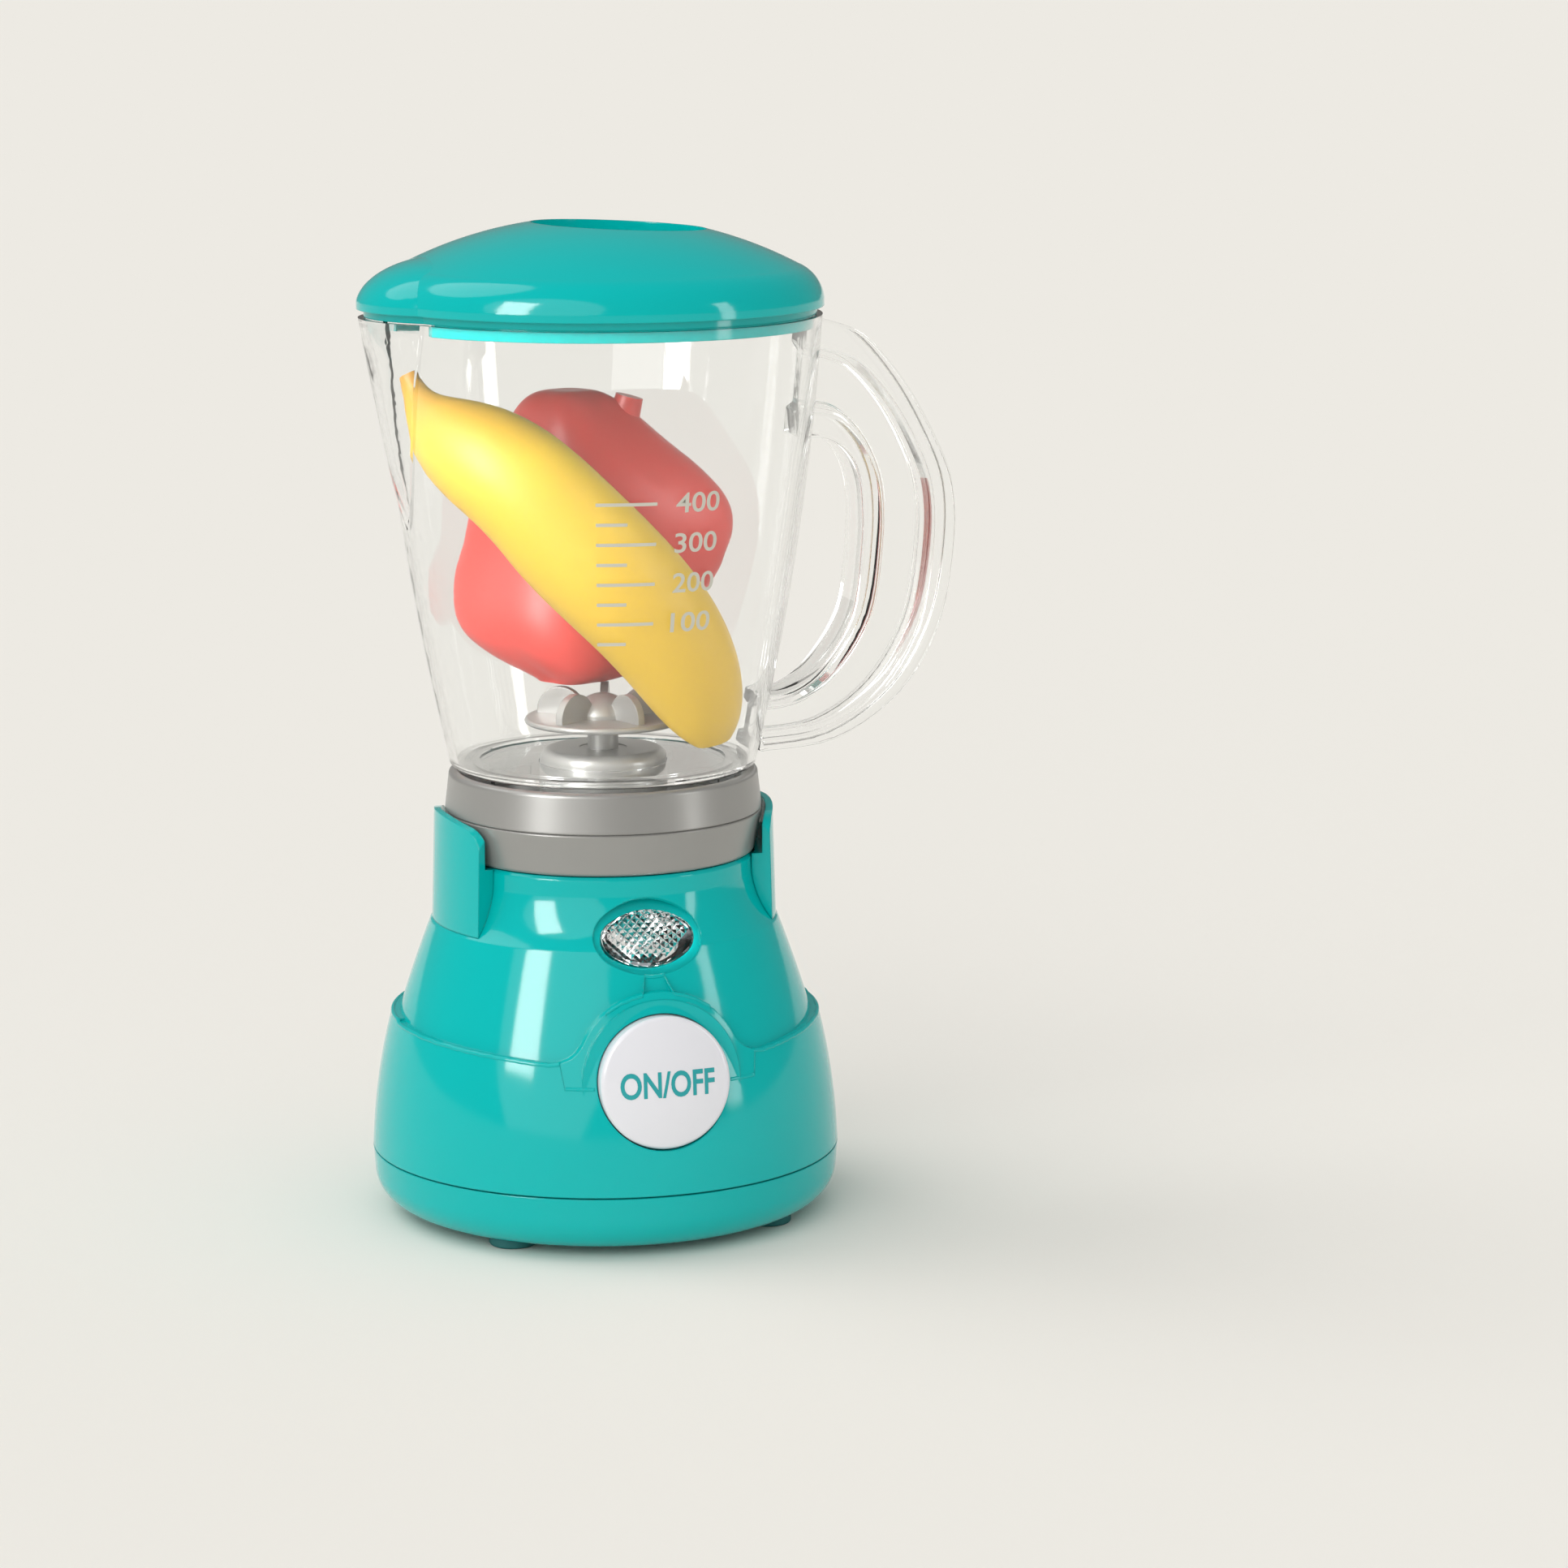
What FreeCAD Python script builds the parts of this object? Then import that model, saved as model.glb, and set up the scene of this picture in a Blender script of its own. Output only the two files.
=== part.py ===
# Toy blender, in millimetres: +Z is up, the floor is Z = 0 and the origin is under the middle of
# the base. The button faces -Y, the jug handle is at +X and the spout at -X.
import FreeCAD, Part
import math
import os

import Sketcher

V = FreeCAD.Vector
doc = FreeCAD.newDocument("toy_blender")

# Driving dimensions

sheet = doc.addObject("Spreadsheet::Sheet", "Sizes")

SIZES = {
    # gaps and fits
    "part_gap": 0.3,            # between pieces that move past each other
    "seat_gap": 0.1,            # between pieces that are pushed or screwed together
    "shaft_gap": 0.05,          # a shaft in its bore
    "overlap": 0.2,             # features of one moulding run into each other
    "overrun": 1.0,             # a cutting outline runs past the piece
    "bore_end": 1.0,            # left solid at the end of a blind bore
    # feet, bottom tray and battery door
    "foot_height": 2.0,
    "foot_radius": 6.0,
    "foot_place": 33.5,
    "foot_recess": 0.8,
    "base_radius": 60.1,
    "tray_bend": 9.0,
    "tray_taper": 0.4,
    "tray_floor": 2.2,
    "tray_wall": 2.2,
    "seam_height": 16.5,
    "seam_gap": 0.4,
    "lip_height": 3.0,
    "lip_wall": 1.4,
    "lip_step": 0.6,
    "lip_taper": 0.8,
    "cell_length": 50.5,
    "cell_radius": 7.25,
    "cell_nub_radius": 2.75,
    "cell_nub_length": 1.0,
    "cell_gap": 0.5,
    "cell_headroom": 1.0,
    "contact_thick": 0.5,
    "contact_room": 4.0,
    "contact_inset": 1.0,
    "contact_share": 1.4,       # of a cell's radius
    "box_wall": 1.5,
    "door_thick": 1.8,
    "door_margin": 7.0,
    "door_pad_radius": 5.0,
    "screw_radius": 1.4,
    "screw_head_radius": 2.6,
    "screw_head_height": 1.6,
    "screw_boss_height": 9.0,
    "screw_sunk": 0.4,
    # base housing
    "house_wall": 2.2,
    "apron_shoulder_height": 51.5,
    "apron_shoulder_radius": 54.9,
    "apron_bulge": 160.0,
    "apron_top_height": 68.0,
    "apron_top_radius": 49.9,
    "apron_flat_height": 49.3,
    "apron_side_height": 51.8,
    "apron_arch_margin": 5.0,
    "apron_arch_blend": 9.0,
    "body_hidden_height": 42.0,
    "body_hidden_radius": 55.0,
    "body_hidden_step": 4.0,
    "body_low_height": 48.0,
    "body_low_radius": 53.9,
    "flare_height": 75.5,
    "flare_radius": 44.6,
    "flare_bulge": 330.0,
    "neck_height": 88.0,
    "neck_radius": 38.7,
    "neck_bend": 23.0,
    "house_top": 93.0,
    "house_top_radius": 37.9,
    "house_top_drop": 0.8,
    "house_top_step": 0.6,
    "spindle_boss_radius": 9.0,
    "spindle_boss_depth": 5.0,
    "post_rib": 1.0,
    # side guards
    "guard_count": 2.0,
    "guard_inner": 41.5,
    "guard_outer": 44.3,
    "guard_taper": 1.0,
    "guard_low": 71.0,
    "guard_top": 105.5,
    "guard_angle": 58.0,
    "guard_half_width": 21.2,
    "guard_splay": 3.0,
    "guard_shoulder": 103.4,
    "guard_corner": 6.5,
    "guard_crown": 95.0,
    # screw posts
    "post_x": 41.0,
    "post_y": 16.0,
    "post_radius": 3.6,
    "post_top": 34.0,
    # button
    "button_height": 44.6,
    "button_radius": 16.6,
    "button_edge": 2.6,
    "button_reach": 56.8,
    "button_crown": 2.2,
    "button_wall": 1.8,
    "button_depth": 8.0,
    "button_proud": 0.6,
    "button_tilt": 5.5,
    "button_flange": 1.6,
    "button_flange_thick": 1.5,
    "guide_wall": 1.8,
    "guide_front": 3.6,
    "guide_back": 12.6,
    "stem_radius": 2.2,
    "spring_radius": 6.5,
    "spring_wire": 0.6,
    "switch_size": 6.0,
    "switch_height": 3.5,
    "plunger_radius": 1.6,
    "plunger_height": 0.8,
    "board_width": 37.6,
    "board_tall": 42.0,
    "board_thick": 1.6,
    # lamp
    "lamp_height": 78.6,
    "lamp_reach": 42.4,
    "lamp_tilt": 24.0,
    "lamp_width": 23.6,
    "lamp_tall": 14.4,
    "scoop_margin_x": 2.1,
    "scoop_margin_y": 2.7,
    "scoop_depth": 3.2,
    "cup_frame": 1.5,
    "lens_rim": 1.2,
    "lens_face": 0.6,
    "lens_crown": 0.8,
    "lens_flange": 1.2,
    "cup_wall": 0.8,
    "cup_depth": 6.0,
    "led_radius": 2.5,
    "led_length": 5.0,
    # motor and gears
    "gear_module": 0.8,
    "pinion_teeth": 10.0,
    "gear_teeth": 32.0,
    "gear_thick": 4.5,
    "gear_height": 62.0,
    "gear_hub_radius": 5.0,
    "gear_hub_length": 3.0,
    "motor_radius": 10.5,
    "motor_length": 27.0,
    "motor_nose_radius": 3.0,
    "motor_nose_length": 1.6,
    "motor_shaft_radius": 1.0,
    "plate_thick": 2.0,
    "plate_half_width": 13.0,
    "plate_reach": 43.0,
    "ledge_start": 36.0,
    "ledge_width": 10.0,
    "ledge_height": 5.0,
    "spindle_radius": 2.5,
    "coupling_radius": 7.0,
    "coupling_height": 6.0,
    "dog_width": 3.4,
    "dog_height": 3.0,
    "dog_count": 3.0,
    "dog_inset": 0.5,
    # collar and blade
    "collar_foot": 93.3,
    "collar_foot_radius": 38.8,
    "collar_split": 104.0,
    "collar_split_radius": 40.5,
    "collar_top": 114.2,
    "collar_top_radius": 39.5,
    "collar_lip": 1.2,
    "collar_wall": 2.2,
    "collar_floor": 2.4,
    "collar_line": 0.3,
    "seat_radius": 16.2,
    "seat_top": 119.6,
    "seat_round": 2.6,
    "seat_wall": 2.0,
    "seat_hub_wall": 2.0,
    "seat_hub_drop": 14.0,
    "seat_flange_radius": 28.0,
    "seat_flange_thick": 2.2,
    "bush_radius": 6.0,
    "blade_shaft_radius": 3.9,
    "blade_disc_radius": 19.4,
    "blade_disc_height": 126.0,
    "blade_disc_thick": 1.6,
    "blade_neck": 2.2,
    "blade_dome_radius": 7.6,
    "blade_dome_height": 6.0,
    "fin_count": 5.0,
    "fin_height": 6.4,
    "fin_thick": 2.0,
    "fin_reach": 17.6,
    # jug
    "jug_wall": 1.8,
    "jug_foot": 115.2,
    "jug_foot_radius": 39.2,
    "jug_foot_round": 1.6,
    "jug_rim": 230.0,
    "jug_rim_radius": 56.0,
    "jug_bulge": 700.0,
    "jug_floor": 2.0,
    "jug_well_radius": 31.4,
    "jug_well_depth": 1.0,
    "skirt_radius": 35.4,
    "skirt_wall": 1.8,
    "skirt_depth": 9.0,
    "lug_reach": 1.7,
    "lug_thick": 2.6,
    "lug_angle": 24.0,
    "lug_count": 3.0,
    "notch_slack": 4.0,
    "shelf_thick": 2.4,
    "twist_angle": 30.0,
    "spout_low": 176.0,
    "spout_low_reach": 50.2,
    "spout_low_radius": 12.0,
    "spout_reach": 61.4,
    "spout_radius": 29.5,
    # handle
    "handle_width": 15.0,
    "handle_rim_drop": 1.5,
    "handle_reach": 93.0,
    "handle_reach_height": 181.0,
    "handle_top_arc": 62.0,
    "handle_low_arc": 74.0,
    "handle_low_x": 60.0,
    "handle_low_height": 118.6,
    "handle_root_arc": 70.0,
    "handle_root_height": 116.6,
    "grip_top_height": 197.0,
    "grip_corner_x": 58.5,
    "grip_corner_arc": 11.0,
    "grip_x": 67.0,
    "grip_height": 184.0,
    "grip_arc": 66.0,
    "grip_low_x": 57.5,
    "grip_low_height": 139.0,
    "grip_root_arc": 24.0,
    "grip_root_height": 131.5,
    "channel_radius": 46.0,
    "channel_width": 8.0,
    "channel_depth": 5.0,
    "channel_height": 172.0,
    "channel_cut": 8.0,
    # lid
    "lid_gap": 0.3,
    "lid_skirt": 1.9,
    "lid_radius": 56.4,
    "lid_edge_top": 234.2,
    "lid_shoulder_radius": 50.2,
    "lid_shoulder_height": 242.2,
    "lid_shoulder_arc": 10.0,
    "lid_dome_arc": 105.0,
    "lid_top": 252.9,
    "lid_hole_radius": 22.1,
    "lid_hole_shift": 5.0,
    "lid_hole_depth": 9.0,
    "lid_wall": 2.0,
    "lid_spout_reach": 61.8,
    "plug_depth": 2.7,
    "plug_wall": 1.8,
    "plug_gap": 0.5,
    # play food
    "food_turn": 17.5,
    "pepper_bottom": 135.1,
    "pepper_lobes": 4.0,
    "pepper_stem_radius": 3.5,
}

for row, (name, value) in enumerate(SIZES.items(), 1):
    sheet.set(f"A{row}", name)
    sheet.set(f"B{row}", str(value))
    sheet.setAlias(f"B{row}", name)
doc.recompute()


class Size:
    """A length that knows both its number and the expression that gives it."""

    def __init__(self, value, text):
        self.value = value
        self.text = text

    def join(self, other, sign, value):
        text = other.text if isinstance(other, Size) else repr(other)
        return Size(value, f"({self.text} {sign} {text})")

    def __add__(self, other):
        return self.join(other, "+", self.value + number(other))

    def __sub__(self, other):
        return self.join(other, "-", self.value - number(other))

    def __mul__(self, other):
        return self.join(other, "*", self.value * number(other))

    def __truediv__(self, other):
        return self.join(other, "/", self.value / number(other))

    def __neg__(self):
        return Size(-self.value, f"(-1 * {self.text})")


def number(size):
    return size.value if isinstance(size, Size) else float(size)


def root(size):
    return Size(math.sqrt(size.value), f"sqrt({size.text})")


def sine(size):
    return Size(math.sin(math.radians(size.value)), f"sin({size.text} * 1deg)")


def cosine(size):
    return Size(math.cos(math.radians(size.value)), f"cos({size.text} * 1deg)")


class Sheet:
    """Each driving dimension by its name."""

    def __getattr__(self, name):
        return Size(float(sheet.get(name)), f"Sizes.{name}")


S = Sheet()
nodes = []


def bind(item, path, size):
    item.setExpression(path, size.text)


# Sketches and features

def new_body(name):
    body = doc.addObject("PartDesign::Body", name)
    body.Label = name
    nodes.append(body)
    return body


def new_sketch(body, role, lift=None, tilt=None):
    """A sketch on one of the body's origin planes, lifted along its normal, or on a tilted plane
    on the front, given by its height, reach and tilt and by how far out it lies."""
    plane = next(item for item in body.Origin.OriginFeatures if item.Role == role)
    sketch = body.newObject("Sketcher::SketchObject", "sketch")
    sketch.AttachmentSupport = [(plane, "")]
    sketch.MapMode = "FlatFace"
    if tilt is not None:
        height, reach, angle, out = tilt
        base = V(0, (height + out * sine(angle)).value, (reach + out * cosine(angle)).value)
        sketch.AttachmentOffset = FreeCAD.Placement(base, FreeCAD.Rotation(V(-1, 0, 0), angle.value))
        bind(sketch, "AttachmentOffset.Base.y", height + out * sine(angle))
        bind(sketch, "AttachmentOffset.Base.z", reach + out * cosine(angle))
        bind(sketch, "AttachmentOffset.Rotation.Angle", angle)
    if lift is not None:
        sketch.AttachmentOffset = FreeCAD.Placement(V(0, 0, lift.value), FreeCAD.Rotation())
        bind(sketch, "AttachmentOffset.Base.z", lift)
    return sketch


def pin_point(rules, sizes, part, spot, x, y):
    """Rules that hold one sketch point at x, y."""
    for axis, place, kind in ((-2, x, "DistanceX"), (-1, y, "DistanceY")):
        if isinstance(place, Size):
            rules.append(Sketcher.Constraint(kind, part, spot, place.value))
            sizes.append(place)
        else:
            rules.append(Sketcher.Constraint("PointOnObject", part, spot, axis))
            sizes.append(None)


def outline(points):
    """The edges of a closed outline, with which end of each comes first. A point with a third
    value ends an arc of that radius: positive turns left on the way round, negative right."""
    shapes = []
    ends = []
    for index, point in enumerate(points):
        x0, y0 = (number(value) for value in points[index - 1][:2])
        x1, y1 = (number(value) for value in point[:2])
        first, last = V(x0, y0, 0), V(x1, y1, 0)
        if len(point) == 2:
            shapes.append(Part.LineSegment(first, last))
            ends.append((1, 2))
            continue
        radius = abs(number(point[2]))
        chord = last - first
        rise = math.sqrt(radius ** 2 - chord.Length ** 2 / 4)
        side = 1 if number(point[2]) > 0 else -1
        middle = (first + last) / 2 + V(-chord.y, chord.x, 0).normalize() * rise * side
        turn = [math.atan2(end.y - middle.y, end.x - middle.x) for end in (first, last)]
        circle = Part.Circle(middle, V(0, 0, 1), radius)
        shapes.append(Part.ArcOfCircle(circle, *(turn if side > 0 else turn[::-1])))
        ends.append((1, 2) if side > 0 else (2, 1))
    return shapes, ends


def draw(sketch, points):
    """Puts a closed outline into a sketch, with every size bound to the sheet."""
    shapes, ends = outline(points)
    start = sketch.GeometryCount
    sketch.addGeometry(shapes, False)
    rules = []
    sizes = []
    for index, point in enumerate(points):
        part = start + index
        before = start + (index - 1) % len(points)
        pin_point(rules, sizes, part, ends[index][1], point[0], point[1])
        rules.append(Sketcher.Constraint("Coincident", before, ends[index - 1][1], part, ends[index][0]))
        sizes.append(None)
        if len(point) == 3:
            rules.append(Sketcher.Constraint("Radius", part, abs(point[2].value)))
            sizes.append(point[2] if point[2].value > 0 else -point[2])
    add_rules(sketch, rules, sizes)


def draw_circle(sketch, x, y, radius):
    centre = V(number(x), number(y), 0)
    part = sketch.addGeometry(Part.Circle(centre, V(0, 0, 1), radius.value), False)
    rules = []
    sizes = []
    pin_point(rules, sizes, part, 3, x, y)
    rules.append(Sketcher.Constraint("Radius", part, radius.value))
    sizes.append(radius)
    add_rules(sketch, rules, sizes)


def add_rules(sketch, rules, sizes):
    first = sketch.ConstraintCount
    sketch.addConstraint(rules)
    for index, size in enumerate(sizes):
        if size is not None:
            sketch.setExpression(f"Constraints[{first + index}]", size.text)


def revolve(body, points, cut=False, angle=None):
    """Turns an outline in the radius and height plane about the Z axis."""
    sketch = new_sketch(body, "XZ_Plane")
    draw(sketch, points)
    kind = "PartDesign::Groove" if cut else "PartDesign::Revolution"
    feature = body.newObject(kind, "turned")
    feature.Profile = sketch
    feature.ReferenceAxis = (sketch, ["V_Axis"])
    feature.Angle = 360.0
    if angle is not None:
        feature.Midplane = True
        bind(feature, "Angle", angle)
    return feature


def push(body, sketch, depth, cut=False, back=False):
    """Pads or pockets a sketch by a depth. A cut goes against the sketch's normal."""
    kind = "PartDesign::Pocket" if cut else "PartDesign::Pad"
    feature = body.newObject(kind, "pushed")
    feature.Profile = sketch
    feature.Reversed = back
    bind(feature, "Length", depth)
    return feature


def turn_copies(body, feature, count):
    """Repeats a feature round the Z axis."""
    pattern = body.newObject("PartDesign::PolarPattern", "copies")
    pattern.Originals = [feature]
    axis = next(item for item in body.Origin.OriginFeatures if item.Role == "Z_Axis")
    pattern.Axis = (axis, [""])
    pattern.Angle = 360.0
    bind(pattern, "Occurrences", count)
    body.Tip = pattern
    return pattern


def cap_arc(half_chord, rise):
    """The radius of an arc over a chord, from its rise."""
    return (half_chord * half_chord + rise * rise) / (rise * 2)


def oval(half_width, half_height):
    """An oval of four arcs, through the ends of its two axes."""
    x = half_width * 0.8
    y = half_height * 0.6
    end_arc = cap_arc(y, half_width - x)
    top_arc = cap_arc(x, half_height - y)
    return [(x, y, end_arc), (-x, y, top_arc), (-x, -y, end_arc), (x, -y, top_arc)]


def face_front(item, height, reach, tilt):
    """Stands a piece drawn along Z on the front, facing out and tilted up."""
    item.Placement = FreeCAD.Placement(V(0, -reach.value, height.value),
                                       FreeCAD.Rotation(V(1, 0, 0), 90 - tilt.value))
    bind(item, "Placement.Base.y", -reach)
    bind(item, "Placement.Base.z", height)
    bind(item, "Placement.Rotation.Angle", -tilt + 90)


def box_outline(x0, y0, x1, y1):
    return [(x0, y0), (x1, y0), (x1, y1), (x0, y1)]


def centred_box(half_x, half_y):
    return box_outline(-half_x, -half_y, half_x, half_y)


def rod(name, x, y, z, radius, length):
    """A plain round bar standing on x, y, z."""
    item = doc.addObject("Part::Cylinder", name)
    bind(item, "Radius", radius)
    bind(item, "Height", length)
    for path, place in (("x", x), ("y", y), ("z", z)):
        if isinstance(place, Size):
            bind(item, f"Placement.Base.{path}", place)
    return item


def block(name, x, y, z, length, width, height):
    """A plain box with its lowest corner at x, y, z."""
    item = doc.addObject("Part::Box", name)
    for path, size in (("Length", length), ("Width", width), ("Height", height)):
        bind(item, path, size)
    for path, place in (("x", x), ("y", y), ("z", z)):
        if isinstance(place, Size):
            bind(item, f"Placement.Base.{path}", place)
    return item


def group(name, items):
    """Like pieces of one kind, kept together."""
    item = doc.addObject("Part::Compound", name)
    item.Links = items
    item.Label = name
    nodes.append(item)
    return item


def joined(name, kind, base, tools):
    item = doc.addObject(kind, name)
    if kind == "Part::MultiFuse":
        item.Shapes = [base] + tools
    else:
        item.Base = base
        item.Tool = tools[0]
    return item


def free_form(name, shape):
    item = doc.addObject("Part::Feature", name)
    item.Shape = shape
    item.Label = name
    nodes.append(item)
    return item


def flat_face(points):
    """An outline in the radius and height plane as a face."""
    wire = Part.Wire([shape.toShape() for shape in outline(points)[0]])
    wire.rotate(V(0, 0, 0), V(1, 0, 0), 90)
    return Part.Face(wire)


def turned(points):
    """A solid turned about the Z axis."""
    return flat_face(points).revolve(V(0, 0, 0), V(0, 0, 1), 360)


def ring_loft(rows, less=0.0):
    """A smooth solid through level circles, each given by height, reach and radius to -X."""
    wires = []
    for height, reach, radius in rows:
        middle = V(radius - reach, 0, height)
        wires.append(Part.Wire(Part.makeCircle(radius - less, middle, V(0, 0, 1))))
    return Part.makeLoft(wires, True, False)


def four_spots(x, y):
    """The same place in each quarter."""
    return [(x, y), (-x, y), (-x, -y), (x, -y)]


# Feet, bottom tray and battery door

tray_top = S.seam_height - S.seam_gap / 2
house_foot = S.seam_height + S.seam_gap / 2
tray_inside = S.foot_height + S.tray_floor
tray_shift = S.base_radius - S.tray_wall
tray_edge = S.base_radius - S.tray_taper
box_length = S.cell_length + S.cell_nub_length + S.contact_room
box_width = (S.cell_radius * 2 + S.cell_gap) * 2
box_top = S.foot_height + S.door_thick + S.cell_gap + S.cell_radius * 2 + S.cell_headroom
cell_height = S.foot_height + S.door_thick + S.cell_gap + S.cell_radius
door_length = box_length + S.door_margin * 2
door_width = box_width

group("rubber_feet", [
    rod("foot", x, y, None, S.foot_radius, S.foot_height + S.foot_recess)
    for x, y in four_spots(S.foot_place, S.foot_place)
])

tray = new_body("bottom_tray")
revolve(tray, [
    (0, S.foot_height),
    (tray_edge - S.tray_bend, S.foot_height),
    (tray_edge, S.foot_height + S.tray_bend, S.tray_bend),
    (S.base_radius, tray_top),
    (tray_shift, tray_top),
    (tray_edge - S.tray_wall, S.foot_height + S.tray_bend),
    (tray_edge - S.tray_bend, tray_inside, -(S.tray_bend - S.tray_wall)),
    (0, tray_inside),
])
lip_outer = tray_shift - S.seat_gap
revolve(tray, [
    (lip_outer - S.lip_wall, tray_top - S.lip_height),
    (tray_shift + S.overlap, tray_top - S.lip_height),
    (tray_shift + S.overlap, tray_top - S.lip_step),
    (lip_outer, tray_top - S.lip_step),
    (lip_outer - S.lip_taper / 4, tray_top + S.lip_step),
    (lip_outer - S.lip_taper, tray_top + S.lip_height),
    (lip_outer - S.lip_wall, tray_top + S.lip_height),
])
sketch = new_sketch(tray, "XY_Plane", lift=tray_inside - S.overlap)
draw(sketch, centred_box(box_length / 2 + S.box_wall, box_width / 2 + S.box_wall))
push(tray, sketch, box_top - tray_inside + S.overlap)
sketch = new_sketch(tray, "XY_Plane", lift=box_top)
draw(sketch, centred_box(box_length / 2, box_width / 2))
push(tray, sketch, box_top, cut=True)
sketch = new_sketch(tray, "XY_Plane", lift=S.foot_height + S.door_thick)
draw(sketch, centred_box(door_length / 2, door_width / 2))
push(tray, sketch, S.door_thick, cut=True)
sketch = new_sketch(tray, "XY_Plane", lift=S.foot_height)
for x, y in four_spots(S.foot_place, S.foot_place):
    draw_circle(sketch, x, y, S.foot_radius + S.seat_gap)
push(tray, sketch, S.foot_recess, cut=True, back=True)
post_start = S.foot_height + S.foot_recess + S.overlap
sketch = new_sketch(tray, "XY_Plane", lift=post_start)
for x, y in four_spots(S.post_x, S.post_y):
    draw_circle(sketch, x, y, S.post_radius)
push(tray, sketch, tray_top - post_start)
sketch = new_sketch(tray, "XY_Plane", lift=S.foot_height)
for x, y in four_spots(S.post_x, S.post_y):
    draw_circle(sketch, x, y, S.screw_radius + S.seat_gap)
push(tray, sketch, tray_top + S.lip_height, cut=True, back=True)

door = new_body("battery_door")
sketch = new_sketch(door, "XY_Plane", lift=S.foot_height)
draw(sketch, centred_box(door_length / 2 - S.part_gap, door_width / 2 - S.part_gap))
push(door, sketch, S.door_thick - S.seat_gap)
door_screw_x = (box_length + S.door_margin) / 2 + S.box_wall / 2
sketch = new_sketch(door, "XY_Plane", lift=S.foot_height)
draw_circle(sketch, door_screw_x, 0, S.screw_head_radius + S.seat_gap)
push(door, sketch, S.door_thick, cut=True, back=True)
sketch = new_sketch(door, "XY_Plane", lift=S.foot_height)
draw_circle(sketch, 0, 0, S.door_pad_radius)
push(door, sketch, S.foot_height, back=True)
screw_boss_top = S.foot_height + S.screw_boss_height
sketch = new_sketch(tray, "XY_Plane", lift=tray_inside - S.overlap)
draw_circle(sketch, door_screw_x, 0, S.screw_head_radius)
push(tray, sketch, screw_boss_top - tray_inside)
sketch = new_sketch(tray, "XY_Plane", lift=S.foot_height)
draw_circle(sketch, door_screw_x, 0, S.screw_radius + S.seat_gap)
push(tray, sketch, S.screw_boss_height - S.bore_end, cut=True, back=True)
screw_foot = S.foot_height + S.part_gap / 2
head = rod("door_screw_head", door_screw_x, None, screw_foot, S.screw_head_radius,
           S.door_thick - S.part_gap)
shank = rod("door_screw_shank", door_screw_x, None, screw_foot, S.screw_radius,
            S.screw_boss_height - S.bore_end * 2)
group("door_screw", [joined("door_fastener", "Part::MultiFuse", head, [shank])])

screws = []
for x, y in four_spots(S.post_x, S.post_y):
    foot = S.foot_height + S.screw_sunk
    head = rod("screw_head", x, y, foot, S.screw_head_radius, S.screw_head_height)
    shank = rod("screw_shank", x, y, foot, S.screw_radius, S.post_top - S.foot_height - S.bore_end * 2)
    screws.append(joined("housing_screw", "Part::MultiFuse", head, [shank]))
group("housing_screws", screws)
sketch = new_sketch(tray, "XY_Plane", lift=S.foot_height)
for x, y in four_spots(S.post_x, S.post_y):
    draw_circle(sketch, x, y, S.screw_head_radius + S.seat_gap)
push(tray, sketch, S.screw_head_height + S.screw_sunk + S.seat_gap, cut=True, back=True)

cells = []
for side in (-1, 1):
    y = (S.cell_radius + S.cell_gap / 2) * side
    can = rod("cell_can", None, y, cell_height, S.cell_radius, S.cell_length)
    nub = rod("cell_nub", None, y, cell_height, S.cell_nub_radius, S.cell_length + S.cell_nub_length)
    for item, length in ((can, S.cell_length), (nub, S.cell_length + S.cell_nub_length)):
        item.Placement = FreeCAD.Placement(item.Placement.Base, FreeCAD.Rotation(V(0, 1, 0), 90 * side))
        bind(item, "Placement.Base.x", -(S.cell_length / 2) * side)
    cells.append(joined("cell", "Part::MultiFuse", can, [nub]))
group("aa_cells", cells)

contact_height = S.cell_radius * S.contact_share
contacts = []
for side in (-1, 1):
    x = box_length / 2 - S.contact_thick if side > 0 else -(box_length / 2)
    contacts.append(block("contact", x, S.contact_inset - box_width / 2, cell_height - contact_height / 2,
                          S.contact_thick, box_width - S.contact_inset * 2, contact_height))
group("battery_contacts", contacts)

# Base housing: apron with its wave, upper body, then the hollow and its openings

wall = S.house_wall
house = new_body("base_housing")
revolve(house, [
    (0, house_foot),
    (S.base_radius, house_foot),
    (S.apron_shoulder_radius, S.apron_shoulder_height, S.apron_bulge),
    (S.apron_top_radius, S.apron_top_height),
    (0, S.apron_top_height),
])

arch_radius = S.button_radius + S.apron_arch_margin
arch_rise = S.apron_flat_height + S.apron_arch_blend - S.button_height
blend_x = root((arch_radius + S.apron_arch_blend) * (arch_radius + S.apron_arch_blend)
               - arch_rise * arch_rise)
meet_x = blend_x * arch_radius / (arch_radius + S.apron_arch_blend)
meet_z = S.button_height + arch_rise * arch_radius / (arch_radius + S.apron_arch_blend)
edge_x = S.base_radius + S.overrun
sketch = new_sketch(house, "XZ_Plane")
draw(sketch, [
    (-edge_x, S.apron_side_height),
    (-blend_x, S.apron_flat_height),
    (-meet_x, meet_z, S.apron_arch_blend),
    (meet_x, meet_z, -arch_radius),
    (blend_x, S.apron_flat_height, S.apron_arch_blend),
    (edge_x, S.apron_side_height),
    (edge_x, S.apron_top_height + S.overrun),
    (-edge_x, S.apron_top_height + S.overrun),
])
push(house, sketch, edge_x, cut=True, back=True)
sketch = new_sketch(house, "XZ_Plane")
draw(sketch, box_outline(-edge_x, S.apron_side_height, edge_x, S.apron_top_height + S.overrun))
push(house, sketch, edge_x, cut=True)

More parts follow.
